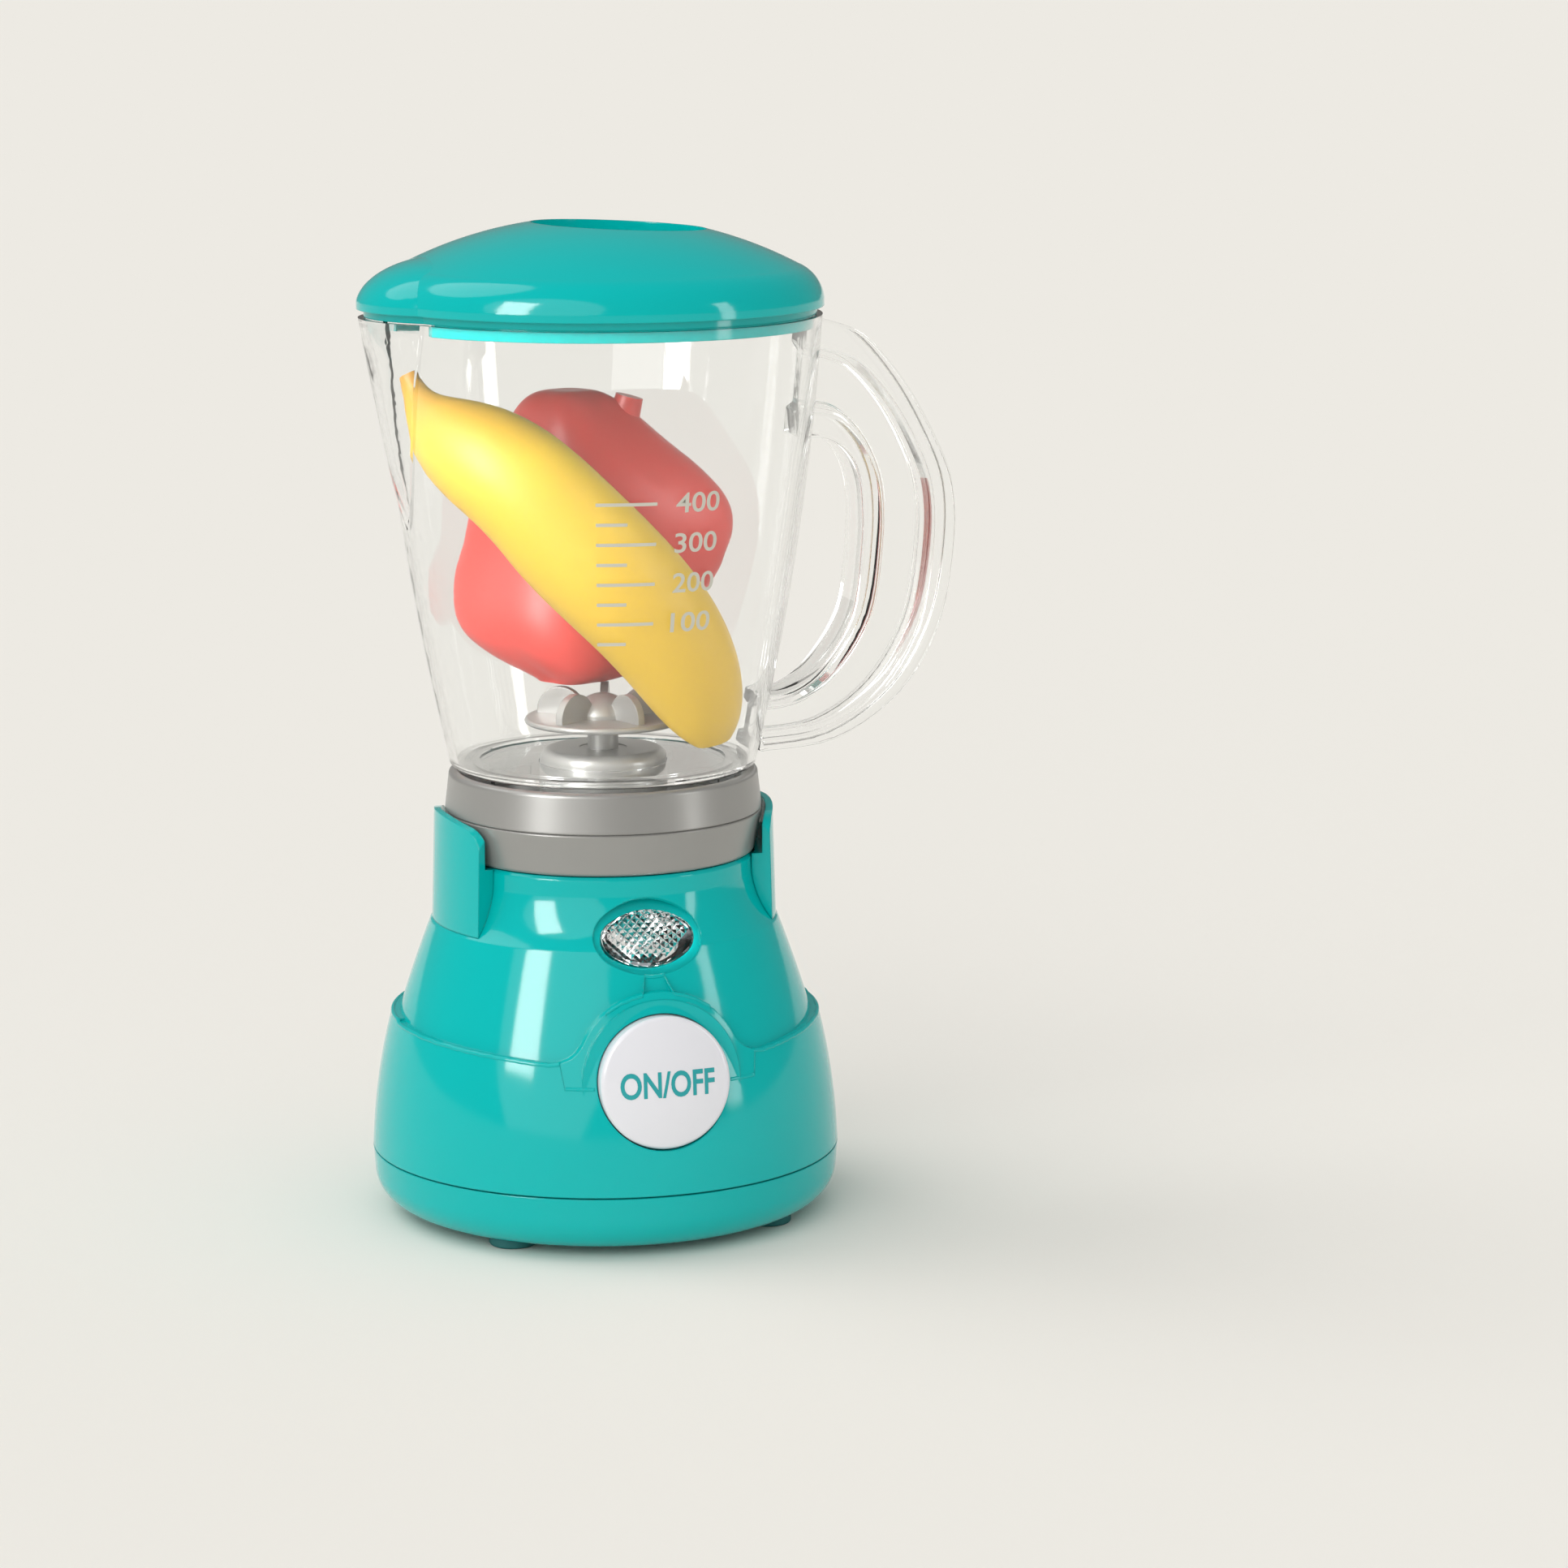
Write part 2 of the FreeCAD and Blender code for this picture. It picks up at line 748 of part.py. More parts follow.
body_outline = [
    (S.body_low_radius, S.body_low_height),
    (S.flare_radius, S.flare_height, S.flare_bulge),
    (S.neck_radius, S.neck_height, -S.neck_bend),
    (S.house_top_radius + S.house_top_step, S.house_top - S.house_top_drop),
    (S.house_top_radius, S.house_top),
    (0, S.house_top),
]
revolve(house, [
    (0, house_foot + S.overrun),
    (S.body_hidden_radius - S.body_hidden_step, house_foot + S.overrun),
    (S.body_hidden_radius, S.body_hidden_height),
] + body_outline)

revolve(house, [
    (0, house_foot - S.overrun),
    (S.base_radius - wall, house_foot - S.overrun),
    (S.base_radius - wall, house_foot),
    (S.body_low_radius - wall, S.body_low_height, S.apron_bulge),
    (S.flare_radius - wall * 1.15, S.flare_height, S.flare_bulge),
    (S.neck_radius - wall, S.neck_height, -(S.neck_bend + S.house_wall)),
    (S.neck_radius - wall, S.house_top - wall),
    (0, S.house_top - wall),
], cut=True)
revolve(house, [
    (0, S.house_top - wall - S.spindle_boss_depth),
    (S.spindle_boss_radius, S.house_top - wall - S.spindle_boss_depth),
    (S.spindle_boss_radius, S.house_top - wall + S.overlap),
    (0, S.house_top - wall + S.overlap),
])
revolve(house, [
    (0, S.gear_height),
    (S.spindle_radius + S.shaft_gap, S.gear_height),
    (S.spindle_radius + S.shaft_gap, S.house_top + S.overrun),
    (0, S.house_top + S.overrun),
], cut=True)
post_foot = tray_top + S.seam_gap
rib_reach = S.base_radius - wall + S.overlap / 2
rib_end = root(rib_reach * rib_reach - S.post_y * S.post_y)
sketch = new_sketch(house, "XY_Plane", lift=post_foot + S.lip_height)
for side_x in (-1, 1):
    for side_y in (-1, 1):
        inner, outer = sorted((S.post_x * side_x, rib_end * side_x), key=number)
        middle = S.post_y * side_y
        draw(sketch, box_outline(inner, middle - S.post_rib, outer, middle + S.post_rib))
push(house, sketch, S.post_top - post_foot - S.lip_height)
for x, y in four_spots(S.post_x, S.post_y):
    sketch = new_sketch(house, "XY_Plane", lift=post_foot)
    draw_circle(sketch, x, y, S.post_radius)
    push(house, sketch, S.post_top - post_foot)
for x, y in four_spots(S.post_x, S.post_y):
    sketch = new_sketch(house, "XY_Plane", lift=post_foot)
    draw_circle(sketch, x, y, S.screw_radius + S.seat_gap)
    push(house, sketch, S.post_top - post_foot - S.bore_end, cut=True, back=True)

plate_top = S.gear_height - S.gear_hub_length - S.part_gap
ledge_foot = plate_top + S.seat_gap
sketch = new_sketch(house, "XY_Plane", lift=ledge_foot)
ledge_end = S.body_low_radius - wall * 2.7
for side in (-1, 1):
    inner, outer = sorted((S.ledge_start * side, ledge_end * side), key=number)
    draw(sketch, box_outline(inner, -(S.ledge_width / 2), outer, S.ledge_width / 2))
push(house, sketch, S.ledge_height)


def on_button(out):
    return (S.button_height, S.button_reach, S.button_tilt, out)


def on_lamp(out):
    return (S.lamp_height, S.lamp_reach, S.lamp_tilt, out)


button_hole = S.button_radius + S.part_gap
flange_radius = S.button_radius + S.button_flange
guide_radius = flange_radius + S.part_gap
guide_lip = S.button_depth - S.button_flange_thick - S.part_gap
sketch = new_sketch(house, "XZ_Plane", tilt=on_button(-S.guide_back))
draw_circle(sketch, 0, 0, guide_radius + S.guide_wall)
push(house, sketch, S.guide_back - S.guide_front)
sketch = new_sketch(house, "XZ_Plane", tilt=on_button(-guide_lip))
draw_circle(sketch, 0, 0, guide_radius)
push(house, sketch, S.guide_back * 2, cut=True)
sketch = new_sketch(house, "XZ_Plane", tilt=on_button(S.guide_front))
draw_circle(sketch, 0, 0, button_hole)
push(house, sketch, S.guide_back, cut=True)

lens_x = S.lamp_width / 2
lens_y = S.lamp_tall / 2
cup_top = S.scoop_depth + S.lens_rim
cup_low = cup_top + S.lens_flange + S.cup_depth
sketch = new_sketch(house, "XZ_Plane", tilt=on_lamp(-cup_low))
draw(sketch, oval(lens_x + S.scoop_margin_x + S.cup_frame, lens_y + S.scoop_margin_y + S.cup_frame))
push(house, sketch, cup_low - S.scoop_depth)
sketch = new_sketch(house, "XZ_Plane", tilt=on_lamp(-S.scoop_depth))
draw(sketch, oval(lens_x + S.scoop_margin_x, lens_y + S.scoop_margin_y))
push(house, sketch, S.scoop_depth * 4, cut=True, back=True)
sketch = new_sketch(house, "XZ_Plane", tilt=on_lamp(-S.scoop_depth + 1.0))
draw(sketch, oval(lens_x + S.seat_gap, lens_y + S.seat_gap))
push(house, sketch, cup_low, cut=True)
sketch = new_sketch(house, "XZ_Plane", tilt=on_lamp(-cup_top))
draw(sketch, oval(lens_x + S.lens_rim + S.seat_gap, lens_y + S.lens_rim + S.seat_gap))
push(house, sketch, cup_low, cut=True)

# Side guards: two curved plates that stand on the neck and keep the jug's collar in place

guards = new_body("side_guards")
guard = revolve(guards, [
    (S.neck_radius, S.guard_low),
    (S.guard_outer, S.guard_low),
    (S.guard_outer - S.guard_taper, S.guard_top),
    (S.guard_inner, S.guard_top),
    (S.guard_inner, S.house_top + S.part_gap),
    (S.neck_radius, S.house_top),
], angle=S.guard_angle)
turn_copies(guards, guard, S.guard_count)
guard_side = S.guard_half_width
guard_edge = guard_side - S.guard_corner * 0.8
sketch = new_sketch(guards, "YZ_Plane", lift=-(S.base_radius))
draw(sketch, [
    (-guard_side - S.guard_splay, S.house_top + S.overrun),
    (-guard_side, S.guard_shoulder - S.guard_corner),
    (-guard_edge, S.guard_shoulder, -S.guard_corner),
    (guard_edge, S.guard_shoulder, -S.guard_crown),
    (guard_side, S.guard_shoulder - S.guard_corner, -S.guard_corner),
    (guard_side + S.guard_splay, S.house_top + S.overrun),
    (guard_side + S.guard_splay, S.guard_top + S.overrun),
    (-guard_side - S.guard_splay, S.guard_top + S.overrun),
])
push(guards, sketch, S.base_radius * 2, cut=True, back=True)
revolve(guards, [(0, S.body_low_height)] + [
    (point[0] + S.seat_gap if point[0] else 0, *point[1:]) for point in body_outline
], cut=True)

# Button with its spring and switch

button = new_body("button_cap")
inside = S.button_radius - S.button_wall
revolve(button, [
    (0, S.button_proud + S.button_crown, cap_arc(S.button_radius - 1.0, S.button_crown)),
    (0, S.button_proud + S.button_crown - S.button_wall),
    (inside - S.button_edge, S.button_proud - S.button_wall + 0.6),
    (inside, S.button_proud - S.button_wall - 1.0),
    (inside, -S.button_depth),
    (flange_radius, -S.button_depth),
    (flange_radius, -S.button_depth + S.button_flange_thick),
    (S.button_radius, -S.button_depth + S.button_flange_thick),
    (S.button_radius, S.button_proud - 1.2),
    (S.button_radius - 1.0, S.button_proud, S.button_edge / 2),
])
sketch = new_sketch(button, "XY_Plane", lift=-(S.button_depth * 0.75))
draw_circle(sketch, 0, 0, S.stem_radius)
push(button, sketch, S.button_depth * 0.75 + S.button_proud + S.button_crown / 2)
face_front(button, S.button_height, S.button_reach, S.button_tilt)


def front_tube(name, outer, inner, low, high, place):
    """A tube along the button's axis."""
    tube = new_body(name)
    revolve(tube, box_outline(inner, low, outer, high))
    face_front(tube, *place)
    return tube


on_front = (S.button_height, S.button_reach, S.button_tilt)
board_face = -S.guide_back - S.seat_gap
front_tube("button_spring", S.spring_radius, S.spring_radius - S.spring_wire, board_face + S.seat_gap,
           -S.button_wall - S.part_gap, on_front)
board = new_body("circuit_board")
sketch = new_sketch(board, "XY_Plane", lift=board_face - S.board_thick)
draw(sketch, centred_box(S.board_width / 2, S.board_tall / 2))
push(board, sketch, S.board_thick)
face_front(board, *on_front)
switch = new_body("push_switch")
sketch = new_sketch(switch, "XY_Plane", lift=board_face)
draw(sketch, centred_box(S.switch_size / 2, S.switch_size / 2))
push(switch, sketch, S.switch_height)
sketch = new_sketch(switch, "XY_Plane", lift=board_face + S.switch_height)
draw_circle(sketch, 0, 0, S.plunger_radius)
push(switch, sketch, S.plunger_height)
face_front(switch, *on_front)

# Lamp: lens, reflector cup and light

on_top = (S.lamp_height, S.lamp_reach, S.lamp_tilt)
lens = new_body("lamp_lens")
sketch = new_sketch(lens, "XY_Plane", lift=-cup_top - S.lens_flange)
draw(sketch, oval(lens_x + S.lens_rim, lens_y + S.lens_rim))
push(lens, sketch, S.lens_flange - S.seat_gap)
sketch = new_sketch(lens, "XY_Plane", lift=-cup_top - S.lens_flange / 2)
draw(sketch, oval(lens_x, lens_y))
push(lens, sketch, cup_top + S.lens_flange / 2 - S.lens_face - S.lens_crown)
sketch = new_sketch(lens, "XY_Plane", lift=-S.lens_face - S.lens_crown - 0.1)
draw(sketch, oval(lens_x, lens_y))
crown = push(lens, sketch, S.lens_crown + 0.1)
crown.TaperAngle = -35.0
face_front(lens, *on_top)

cup_face = -cup_top - S.lens_flange - S.seat_gap
cup = new_body("lamp_reflector")
sketch = new_sketch(cup, "XY_Plane", lift=cup_face - S.cup_depth + S.seat_gap)
draw(sketch, oval(lens_x + S.lens_rim, lens_y + S.lens_rim))
push(cup, sketch, S.cup_depth - S.seat_gap)
sketch = new_sketch(cup, "XY_Plane", lift=cup_face)
draw(sketch, oval(lens_x + S.lens_rim - S.cup_wall, lens_y + S.lens_rim - S.cup_wall))
bowl = push(cup, sketch, S.cup_depth - S.cup_wall, cut=True)
bowl.TaperAngle = -24.0
sketch = new_sketch(cup, "XY_Plane", lift=cup_face)
draw_circle(sketch, 0, 0, S.led_radius + S.seat_gap)
push(cup, sketch, S.cup_depth * 2, cut=True)
face_front(cup, *on_top)

led = new_body("led")
led_foot = cup_face - S.cup_depth
revolve(led, [
    (0, led_foot),
    (S.led_radius, led_foot),
    (S.led_radius, led_foot + S.led_length - S.led_radius),
    (0, led_foot + S.led_length, S.led_radius),
])
face_front(led, *on_top)

# Motor, its plate, the gear pair and the drive coupling

plate_foot = plate_top - S.plate_thick
motor_x = -(S.gear_module * (S.pinion_teeth + S.gear_teeth) / 2)
ledge_screw_x = (S.ledge_start + S.plate_reach) / 2
bracket = new_body("motor_plate")
sketch = new_sketch(bracket, "XY_Plane", lift=plate_foot)
draw(sketch, centred_box(S.plate_reach, S.plate_half_width))
push(bracket, sketch, S.plate_thick)
sketch = new_sketch(bracket, "XY_Plane", lift=plate_foot)
draw_circle(sketch, 0, 0, S.spindle_radius + S.shaft_gap)
draw_circle(sketch, motor_x, 0, S.motor_nose_radius + S.seat_gap)
for side in (-1, 1):
    draw_circle(sketch, ledge_screw_x * side, 0, S.screw_radius + S.seat_gap)
push(bracket, sketch, S.plate_thick, cut=True, back=True)
sketch = new_sketch(house, "XY_Plane", lift=ledge_foot)
for side in (-1, 1):
    draw_circle(sketch, ledge_screw_x * side, 0, S.screw_radius + S.seat_gap)
push(house, sketch, S.ledge_height - S.bore_end, cut=True, back=True)
screws = []
for side in (-1, 1):
    x = ledge_screw_x * side
    head = rod("bracket_head", x, None, plate_foot - S.screw_head_height, S.screw_head_radius,
               S.screw_head_height)
    shank = rod("bracket_shank", x, None, plate_foot - S.screw_head_height, S.screw_radius,
                S.screw_head_height + S.plate_thick + S.ledge_height - 1.5)
    screws.append(joined("bracket_screw", "Part::MultiFuse", head, [shank]))
group("bracket_screws", screws)

motor_foot = plate_foot - S.seat_gap - S.motor_length
motor = new_body("motor")
revolve(motor, [
    (0, motor_foot),
    (S.motor_radius, motor_foot),
    (S.motor_radius, motor_foot + S.motor_length),
    (S.motor_nose_radius, motor_foot + S.motor_length),
    (S.motor_nose_radius, motor_foot + S.motor_length + S.motor_nose_length),
    (S.motor_shaft_radius + S.shaft_gap, motor_foot + S.motor_length + S.motor_nose_length),
    (S.motor_shaft_radius + S.shaft_gap, motor_foot + S.motor_length - 4.0),
    (0, motor_foot + S.motor_length - 4.0),
])
bind(motor, "Placement.Base.x", motor_x)

tooth_root = S.gear_module * 1.15
tooth_tip = S.gear_module * 0.9


def toothed_wheel(name, teeth, bore):
    """A spur gear: a disc with one tooth, repeated round it."""
    pitch = S.gear_module * teeth / 2
    wheel = new_body(name)
    revolve(wheel, box_outline(bore, S.gear_height, pitch - tooth_root, S.gear_height + S.gear_thick))
    sketch = new_sketch(wheel, "XY_Plane", lift=S.gear_height)
    draw(sketch, [
        (pitch - tooth_root - 0.3, -(S.gear_module * 0.95)),
        (pitch + tooth_tip, -(S.gear_module * 0.34)),
        (pitch + tooth_tip, S.gear_module * 0.34),
        (pitch - tooth_root - 0.3, S.gear_module * 0.95),
    ])
    tooth = push(wheel, sketch, S.gear_thick)
    turn_copies(wheel, tooth, teeth)
    return wheel


pinion = toothed_wheel("motor_pinion", S.pinion_teeth, S.motor_shaft_radius)
bind(pinion, "Placement.Base.x", motor_x)
bind(pinion, "Placement.Rotation.Angle", Size(180.0, "180") / S.pinion_teeth)
gear = toothed_wheel("drive_gear", S.gear_teeth, S.spindle_radius)
revolve(gear, box_outline(S.spindle_radius, S.gear_height - S.gear_hub_length, S.gear_hub_radius,
                          S.gear_height))
group("motor_shaft", [
    rod("motor_shaft_bar", motor_x, None, motor_foot + S.motor_length - 3.8, S.motor_shaft_radius,
        S.gear_height + S.gear_thick - motor_foot - S.motor_length + 3.8),
])

coupling_foot = S.house_top + S.part_gap
dog_foot = coupling_foot + S.coupling_height - S.dog_height
group("spindle", [
    rod("spindle_bar", None, None, plate_foot - 0.5, S.spindle_radius, dog_foot - plate_foot + 0.5),
])


def dog_clutch(name, bore, disc_low, disc_high, dogs_low):
    """Half of the coupling: a disc with upright dogs that stand between those of the other half."""
    half = new_body(name)
    revolve(half, box_outline(bore, disc_low, S.coupling_radius, disc_high))
    sketch = new_sketch(half, "XY_Plane", lift=dogs_low)
    draw(sketch, box_outline(S.spindle_radius + S.dog_inset, -(S.dog_width / 2),
                             S.coupling_radius - S.dog_inset, S.dog_width / 2))
    dog = push(half, sketch, S.dog_height + S.overlap)
    turn_copies(half, dog, S.dog_count)
    return half


driven_foot = dog_foot + S.dog_height + S.part_gap
dog_clutch("drive_coupling", S.spindle_radius, coupling_foot, dog_foot, dog_foot - S.overlap)
driven = dog_clutch("driven_coupling", 0, driven_foot, driven_foot + S.dog_height,
                    driven_foot - S.dog_height)
bind(driven, "Placement.Rotation.Angle", Size(180.0, "180") / S.dog_count)

# Collar: two rings, the upper one with the bayonet shelf

split = S.collar_split
floor_top = S.collar_foot + S.collar_floor
lower = new_body("collar_lower")
revolve(lower, [
    (S.spindle_boss_radius, S.collar_foot),
    (S.collar_foot_radius - 0.8, S.collar_foot),
    (S.collar_foot_radius, S.collar_foot + 0.8, S.collar_lip),
    (S.collar_split_radius, split - S.collar_line),
    (S.collar_split_radius - S.collar_line, split),
    (S.collar_split_radius - S.collar_wall, split),
    (S.collar_foot_radius - S.collar_wall, floor_top),
    (S.spindle_boss_radius, floor_top),
])
upper = new_body("collar_upper")
shelf_top = S.collar_top - S.lug_thick
shelf_foot = shelf_top - S.shelf_thick
shelf_radius = S.skirt_radius + S.part_gap
revolve(upper, [
    (S.collar_split_radius - S.collar_wall, split + S.seat_gap),
    (S.collar_split_radius - S.collar_line, split + S.seat_gap),
    (S.collar_split_radius, split + S.collar_line + S.seat_gap),
    (S.collar_top_radius, S.collar_top - S.collar_lip),
    (S.collar_top_radius - S.collar_lip, S.collar_top, S.collar_lip),
    (S.collar_top_radius - S.collar_wall, S.collar_top),
    (S.collar_top_radius - S.collar_wall, shelf_top),
    (shelf_radius, shelf_top),
    (shelf_radius, shelf_foot),
    (S.collar_top_radius - S.collar_wall, shelf_foot),
])
lug_radius = S.skirt_radius + S.lug_reach
notch_radius = lug_radius + S.part_gap
notch = revolve(upper, box_outline(shelf_radius - 1.0, shelf_foot - 0.5, notch_radius, shelf_top + 0.5),
                cut=True, angle=S.lug_angle + S.notch_slack)
turn_copies(upper, notch, S.lug_count)
bind(upper, "Placement.Rotation.Angle", S.twist_angle)

# Blade seat, its bush, the shaft and the finned blade

seat_foot = floor_top + S.seat_gap
seat_inside = S.seat_radius - S.seat_wall
hub_radius = S.bush_radius + S.seat_hub_wall
hub_foot = S.seat_top - S.seat_hub_drop
seat = new_body("blade_seat")
revolve(seat, [
    (S.spindle_boss_radius, seat_foot),
    (S.seat_flange_radius, seat_foot),
    (S.seat_flange_radius, seat_foot + S.seat_flange_thick),
    (S.seat_radius, seat_foot + S.seat_flange_thick),
    (S.seat_radius, S.seat_top - S.seat_round),
    (S.seat_radius - S.seat_round, S.seat_top, S.seat_round),
    (S.bush_radius, S.seat_top),
    (S.bush_radius, hub_foot),
    (hub_radius, hub_foot),
    (hub_radius, S.seat_top - S.seat_wall),
    (seat_inside, S.seat_top - S.seat_wall - 1.0),
    (seat_inside, seat_foot + S.seat_flange_thick),
    (S.spindle_boss_radius, seat_foot + S.seat_flange_thick),
])
bush = new_body("shaft_bush")
revolve(bush, box_outline(S.blade_shaft_radius + S.shaft_gap, hub_foot, S.bush_radius, S.seat_top - 0.2))

neck_foot = S.blade_disc_height - S.blade_neck
group("blade_shaft", [
    rod("blade_shaft_bar", None, None, driven_foot + S.dog_height, S.blade_shaft_radius,
        neck_foot - driven_foot - S.dog_height),
])
disc_top = S.blade_disc_height + S.blade_disc_thick
blade = new_body("blade")
revolve(blade, [
    (0, neck_foot),
    (S.blade_shaft_radius + 1.0, neck_foot),
    (S.blade_shaft_radius + 1.0, S.blade_disc_height),
    (S.blade_disc_radius, S.blade_disc_height),
    (S.blade_disc_radius, disc_top, S.blade_disc_thick / 2 + 0.01),
    (S.blade_dome_radius, disc_top),
    (S.blade_dome_radius, disc_top + 1.0),
    (0, disc_top + S.blade_dome_height, cap_arc(S.blade_dome_radius, S.blade_dome_height - 1.0)),
])
sketch = new_sketch(blade, "XZ_Plane")
fin_start = S.blade_dome_radius - 3.0
draw(sketch, [
    (fin_start, S.blade_disc_height + 0.4),
    (S.fin_reach, S.blade_disc_height + 0.4),
    (S.fin_reach, disc_top + S.fin_height * 0.25),
    (fin_start + 1.0, disc_top + S.fin_height * 0.55, S.fin_height),
])
fin = blade.newObject("PartDesign::Pad", "fin")
fin.Profile = sketch
fin.Midplane = True
bind(fin, "Length", S.fin_thick)
turn_copies(blade, fin, S.fin_count)

# Jug: convex taper, spout, floor with its hole, and the skirt with bayonet lugs

spout_rows = []
for step in range(5):
    share = step / 4
    spout_rows.append((
        number(S.spout_low) + number(S.jug_rim - S.spout_low) * share,
        number(S.spout_low_reach) + number(S.spout_reach - S.spout_low_reach) * share ** 0.85,
        number(S.spout_low_radius) + number(S.spout_radius - S.spout_low_radius) * share ** 0.8,
    ))
spout_end = (number(S.jug_rim) + 1.0, spout_rows[-1][1], spout_rows[-1][2])
jug_outer = turned([
    (0, S.jug_foot),
    (S.jug_foot_radius - S.jug_foot_round, S.jug_foot),
    (S.jug_foot_radius, S.jug_foot + S.jug_foot_round, S.jug_foot_round),
    (S.jug_rim_radius, S.jug_rim, S.jug_bulge),
    (0, S.jug_rim),
])
jug_floor_top = S.jug_foot + S.jug_floor
jug_inner = turned([
    (0, jug_floor_top),
    (S.jug_foot_radius - S.jug_wall, jug_floor_top),
    (S.jug_rim_radius - S.jug_wall, S.jug_rim, S.jug_bulge),
    (S.jug_rim_radius - S.jug_wall, S.jug_rim + 1.0),
    (0, S.jug_rim + 1.0),
])
well = turned([
    (0, jug_floor_top - S.jug_well_depth),
    (S.jug_well_radius, jug_floor_top - S.jug_well_depth),
    (S.jug_well_radius, jug_floor_top + 0.5),
    (0, jug_floor_top + 0.5),
])
jug_solid = jug_outer.fuse(ring_loft(spout_rows))
jug_cavity = jug_inner.fuse(ring_loft(spout_rows + [spout_end], number(S.jug_wall))).fuse(well)
skirt_foot = S.jug_foot - S.skirt_depth
skirt = turned(box_outline(S.skirt_radius - S.skirt_wall, skirt_foot, S.skirt_radius,
                           S.jug_foot + S.jug_foot_round))
lugs = []
for index in range(int(number(S.lug_count))):
    face = flat_face(box_outline(S.skirt_radius - 0.5, skirt_foot, lug_radius, shelf_foot - S.part_gap))
    face.rotate(V(0, 0, 0), V(0, 0, 1), index * 360 / number(S.lug_count) - number(S.lug_angle) / 2)
    lugs.append(face.revolve(V(0, 0, 0), V(0, 0, 1), number(S.lug_angle)))
seat_hole = Part.makeCylinder(number(S.seat_radius + S.part_gap), number(S.jug_floor) * 4,
                              V(0, 0, number(S.jug_foot - S.jug_floor)))
jug = jug_solid.cut(jug_cavity).cut(seat_hole).fuse([skirt] + lugs)
free_form("jug", jug.removeSplitter())

# Handle: a deep band with a channel down each side, rooted on the jug wall

rim_height = S.jug_rim - S.handle_rim_drop
root_x = S.jug_foot_radius - 1.0
band = flat_face([
    (root_x + 10.0, rim_height),
    (root_x, S.handle_root_height),
    (S.handle_low_x, S.handle_low_height, S.handle_root_arc),
    (S.handle_reach, S.handle_reach_height, S.handle_low_arc),
    (S.jug_rim_radius, rim_height, S.handle_top_arc),
])
grip_hole = flat_face([
    (root_x, S.grip_top_height),
    (root_x, S.grip_root_height),
    (S.grip_low_x, S.grip_low_height, S.grip_root_arc),
    (S.grip_x, S.grip_height, S.grip_arc),
    (S.grip_corner_x, S.grip_top_height, S.grip_corner_arc),
])
width = number(S.handle_width)
handle = band.extrude(V(0, width, 0)).cut(grip_hole.extrude(V(0, width, 0)))
handle.translate(V(0, -width / 2, 0))
centre_x = number(S.grip_x + S.handle_reach) / 2
channel = Part.makeCylinder(number(S.channel_radius + S.channel_width / 2), width)
channel = channel.cut(Part.makeCylinder(number(S.channel_radius - S.channel_width / 2), width))
channel_box = Part.makeBox(width * 4, width * 8, width, V(number(S.channel_cut), -width * 4, 0))
channel = channel.common(channel_box)
channel.rotate(V(0, 0, 0), V(1, 0, 0), 90)
channel.translate(V(centre_x - number(S.channel_radius), width + 0.0, number(S.channel_height)))
for side in (-1, 1):
    depth = number(S.channel_depth)
    groove = channel.copy()
    groove.translate(V(0, width / 2 - depth if side > 0 else depth - width * 1.5, 0))
    handle = handle.cut(groove)
handle = handle.cut(jug_outer)
free_form("jug_handle", handle.removeSplitter())

# Lid: a dome with a spout cover, a round hole with its collar, and a rim that plugs the jug

lid_foot = S.jug_rim + S.lid_gap + S.lid_skirt
cover = [
    (lid_foot, S.lid_spout_reach, S.spout_radius),
    (S.lid_edge_top, S.lid_spout_reach, S.spout_radius),
    (S.lid_edge_top + 3.2, S.lid_spout_reach - 1.7, S.spout_radius - 1.2),
    (S.lid_edge_top + 6.3, S.lid_spout_reach - 5.2, S.spout_radius - 3.6),
    (S.lid_edge_top + 9.2, S.lid_spout_reach - 11.4, S.spout_radius - 8.2),
    (S.lid_edge_top + 10.8, S.lid_spout_reach - 18.0, S.spout_radius - 14.0),
]
cover = [tuple(number(value) for value in row) for row in cover]


def cover_solid():
    """The spout cover's solid: an upright edge, then a smooth shoulder."""
    return ring_loft(cover[:2]).fuse(ring_loft(cover[1:]))


def lid_dome(less, foot):
    return turned([
        (0, foot),
        (S.lid_radius - less, foot),
        (S.lid_radius - less, S.lid_edge_top - less / 2),
        (S.lid_shoulder_radius - less, S.lid_shoulder_height - less, S.lid_shoulder_arc),
        (S.lid_hole_radius - S.lid_hole_shift, S.lid_top - less, S.lid_dome_arc),
        (0, S.lid_top - less),
    ])


lid_wall = number(S.lid_wall)
outside = lid_dome(0.0, lid_foot).fuse(cover_solid())
inside_foot = S.lid_edge_top
hollow = lid_dome(lid_wall, inside_foot).fuse(ring_loft(
    [(height - lid_wall / 2, reach - lid_wall, radius) for height, reach, radius in cover[2:]], lid_wall))
step_radius = S.jug_rim_radius - S.jug_wall + 0.4
step_in = number(S.jug_rim_radius - step_radius)
plug_radius = S.jug_rim_radius - S.jug_wall - S.plug_gap
plug_inner = plug_radius - S.plug_wall


def rim_disc(radius, reach, spout, low, high):
    """A level slab with the rim's outline: the round and its spout."""
    thick = number(high) - number(low)
    slab = Part.makeCylinder(number(radius), thick, V(0, 0, number(low)))
    nose = Part.makeCylinder(spout, thick, V(spout - reach, 0, number(low)))
    return slab.fuse(nose)


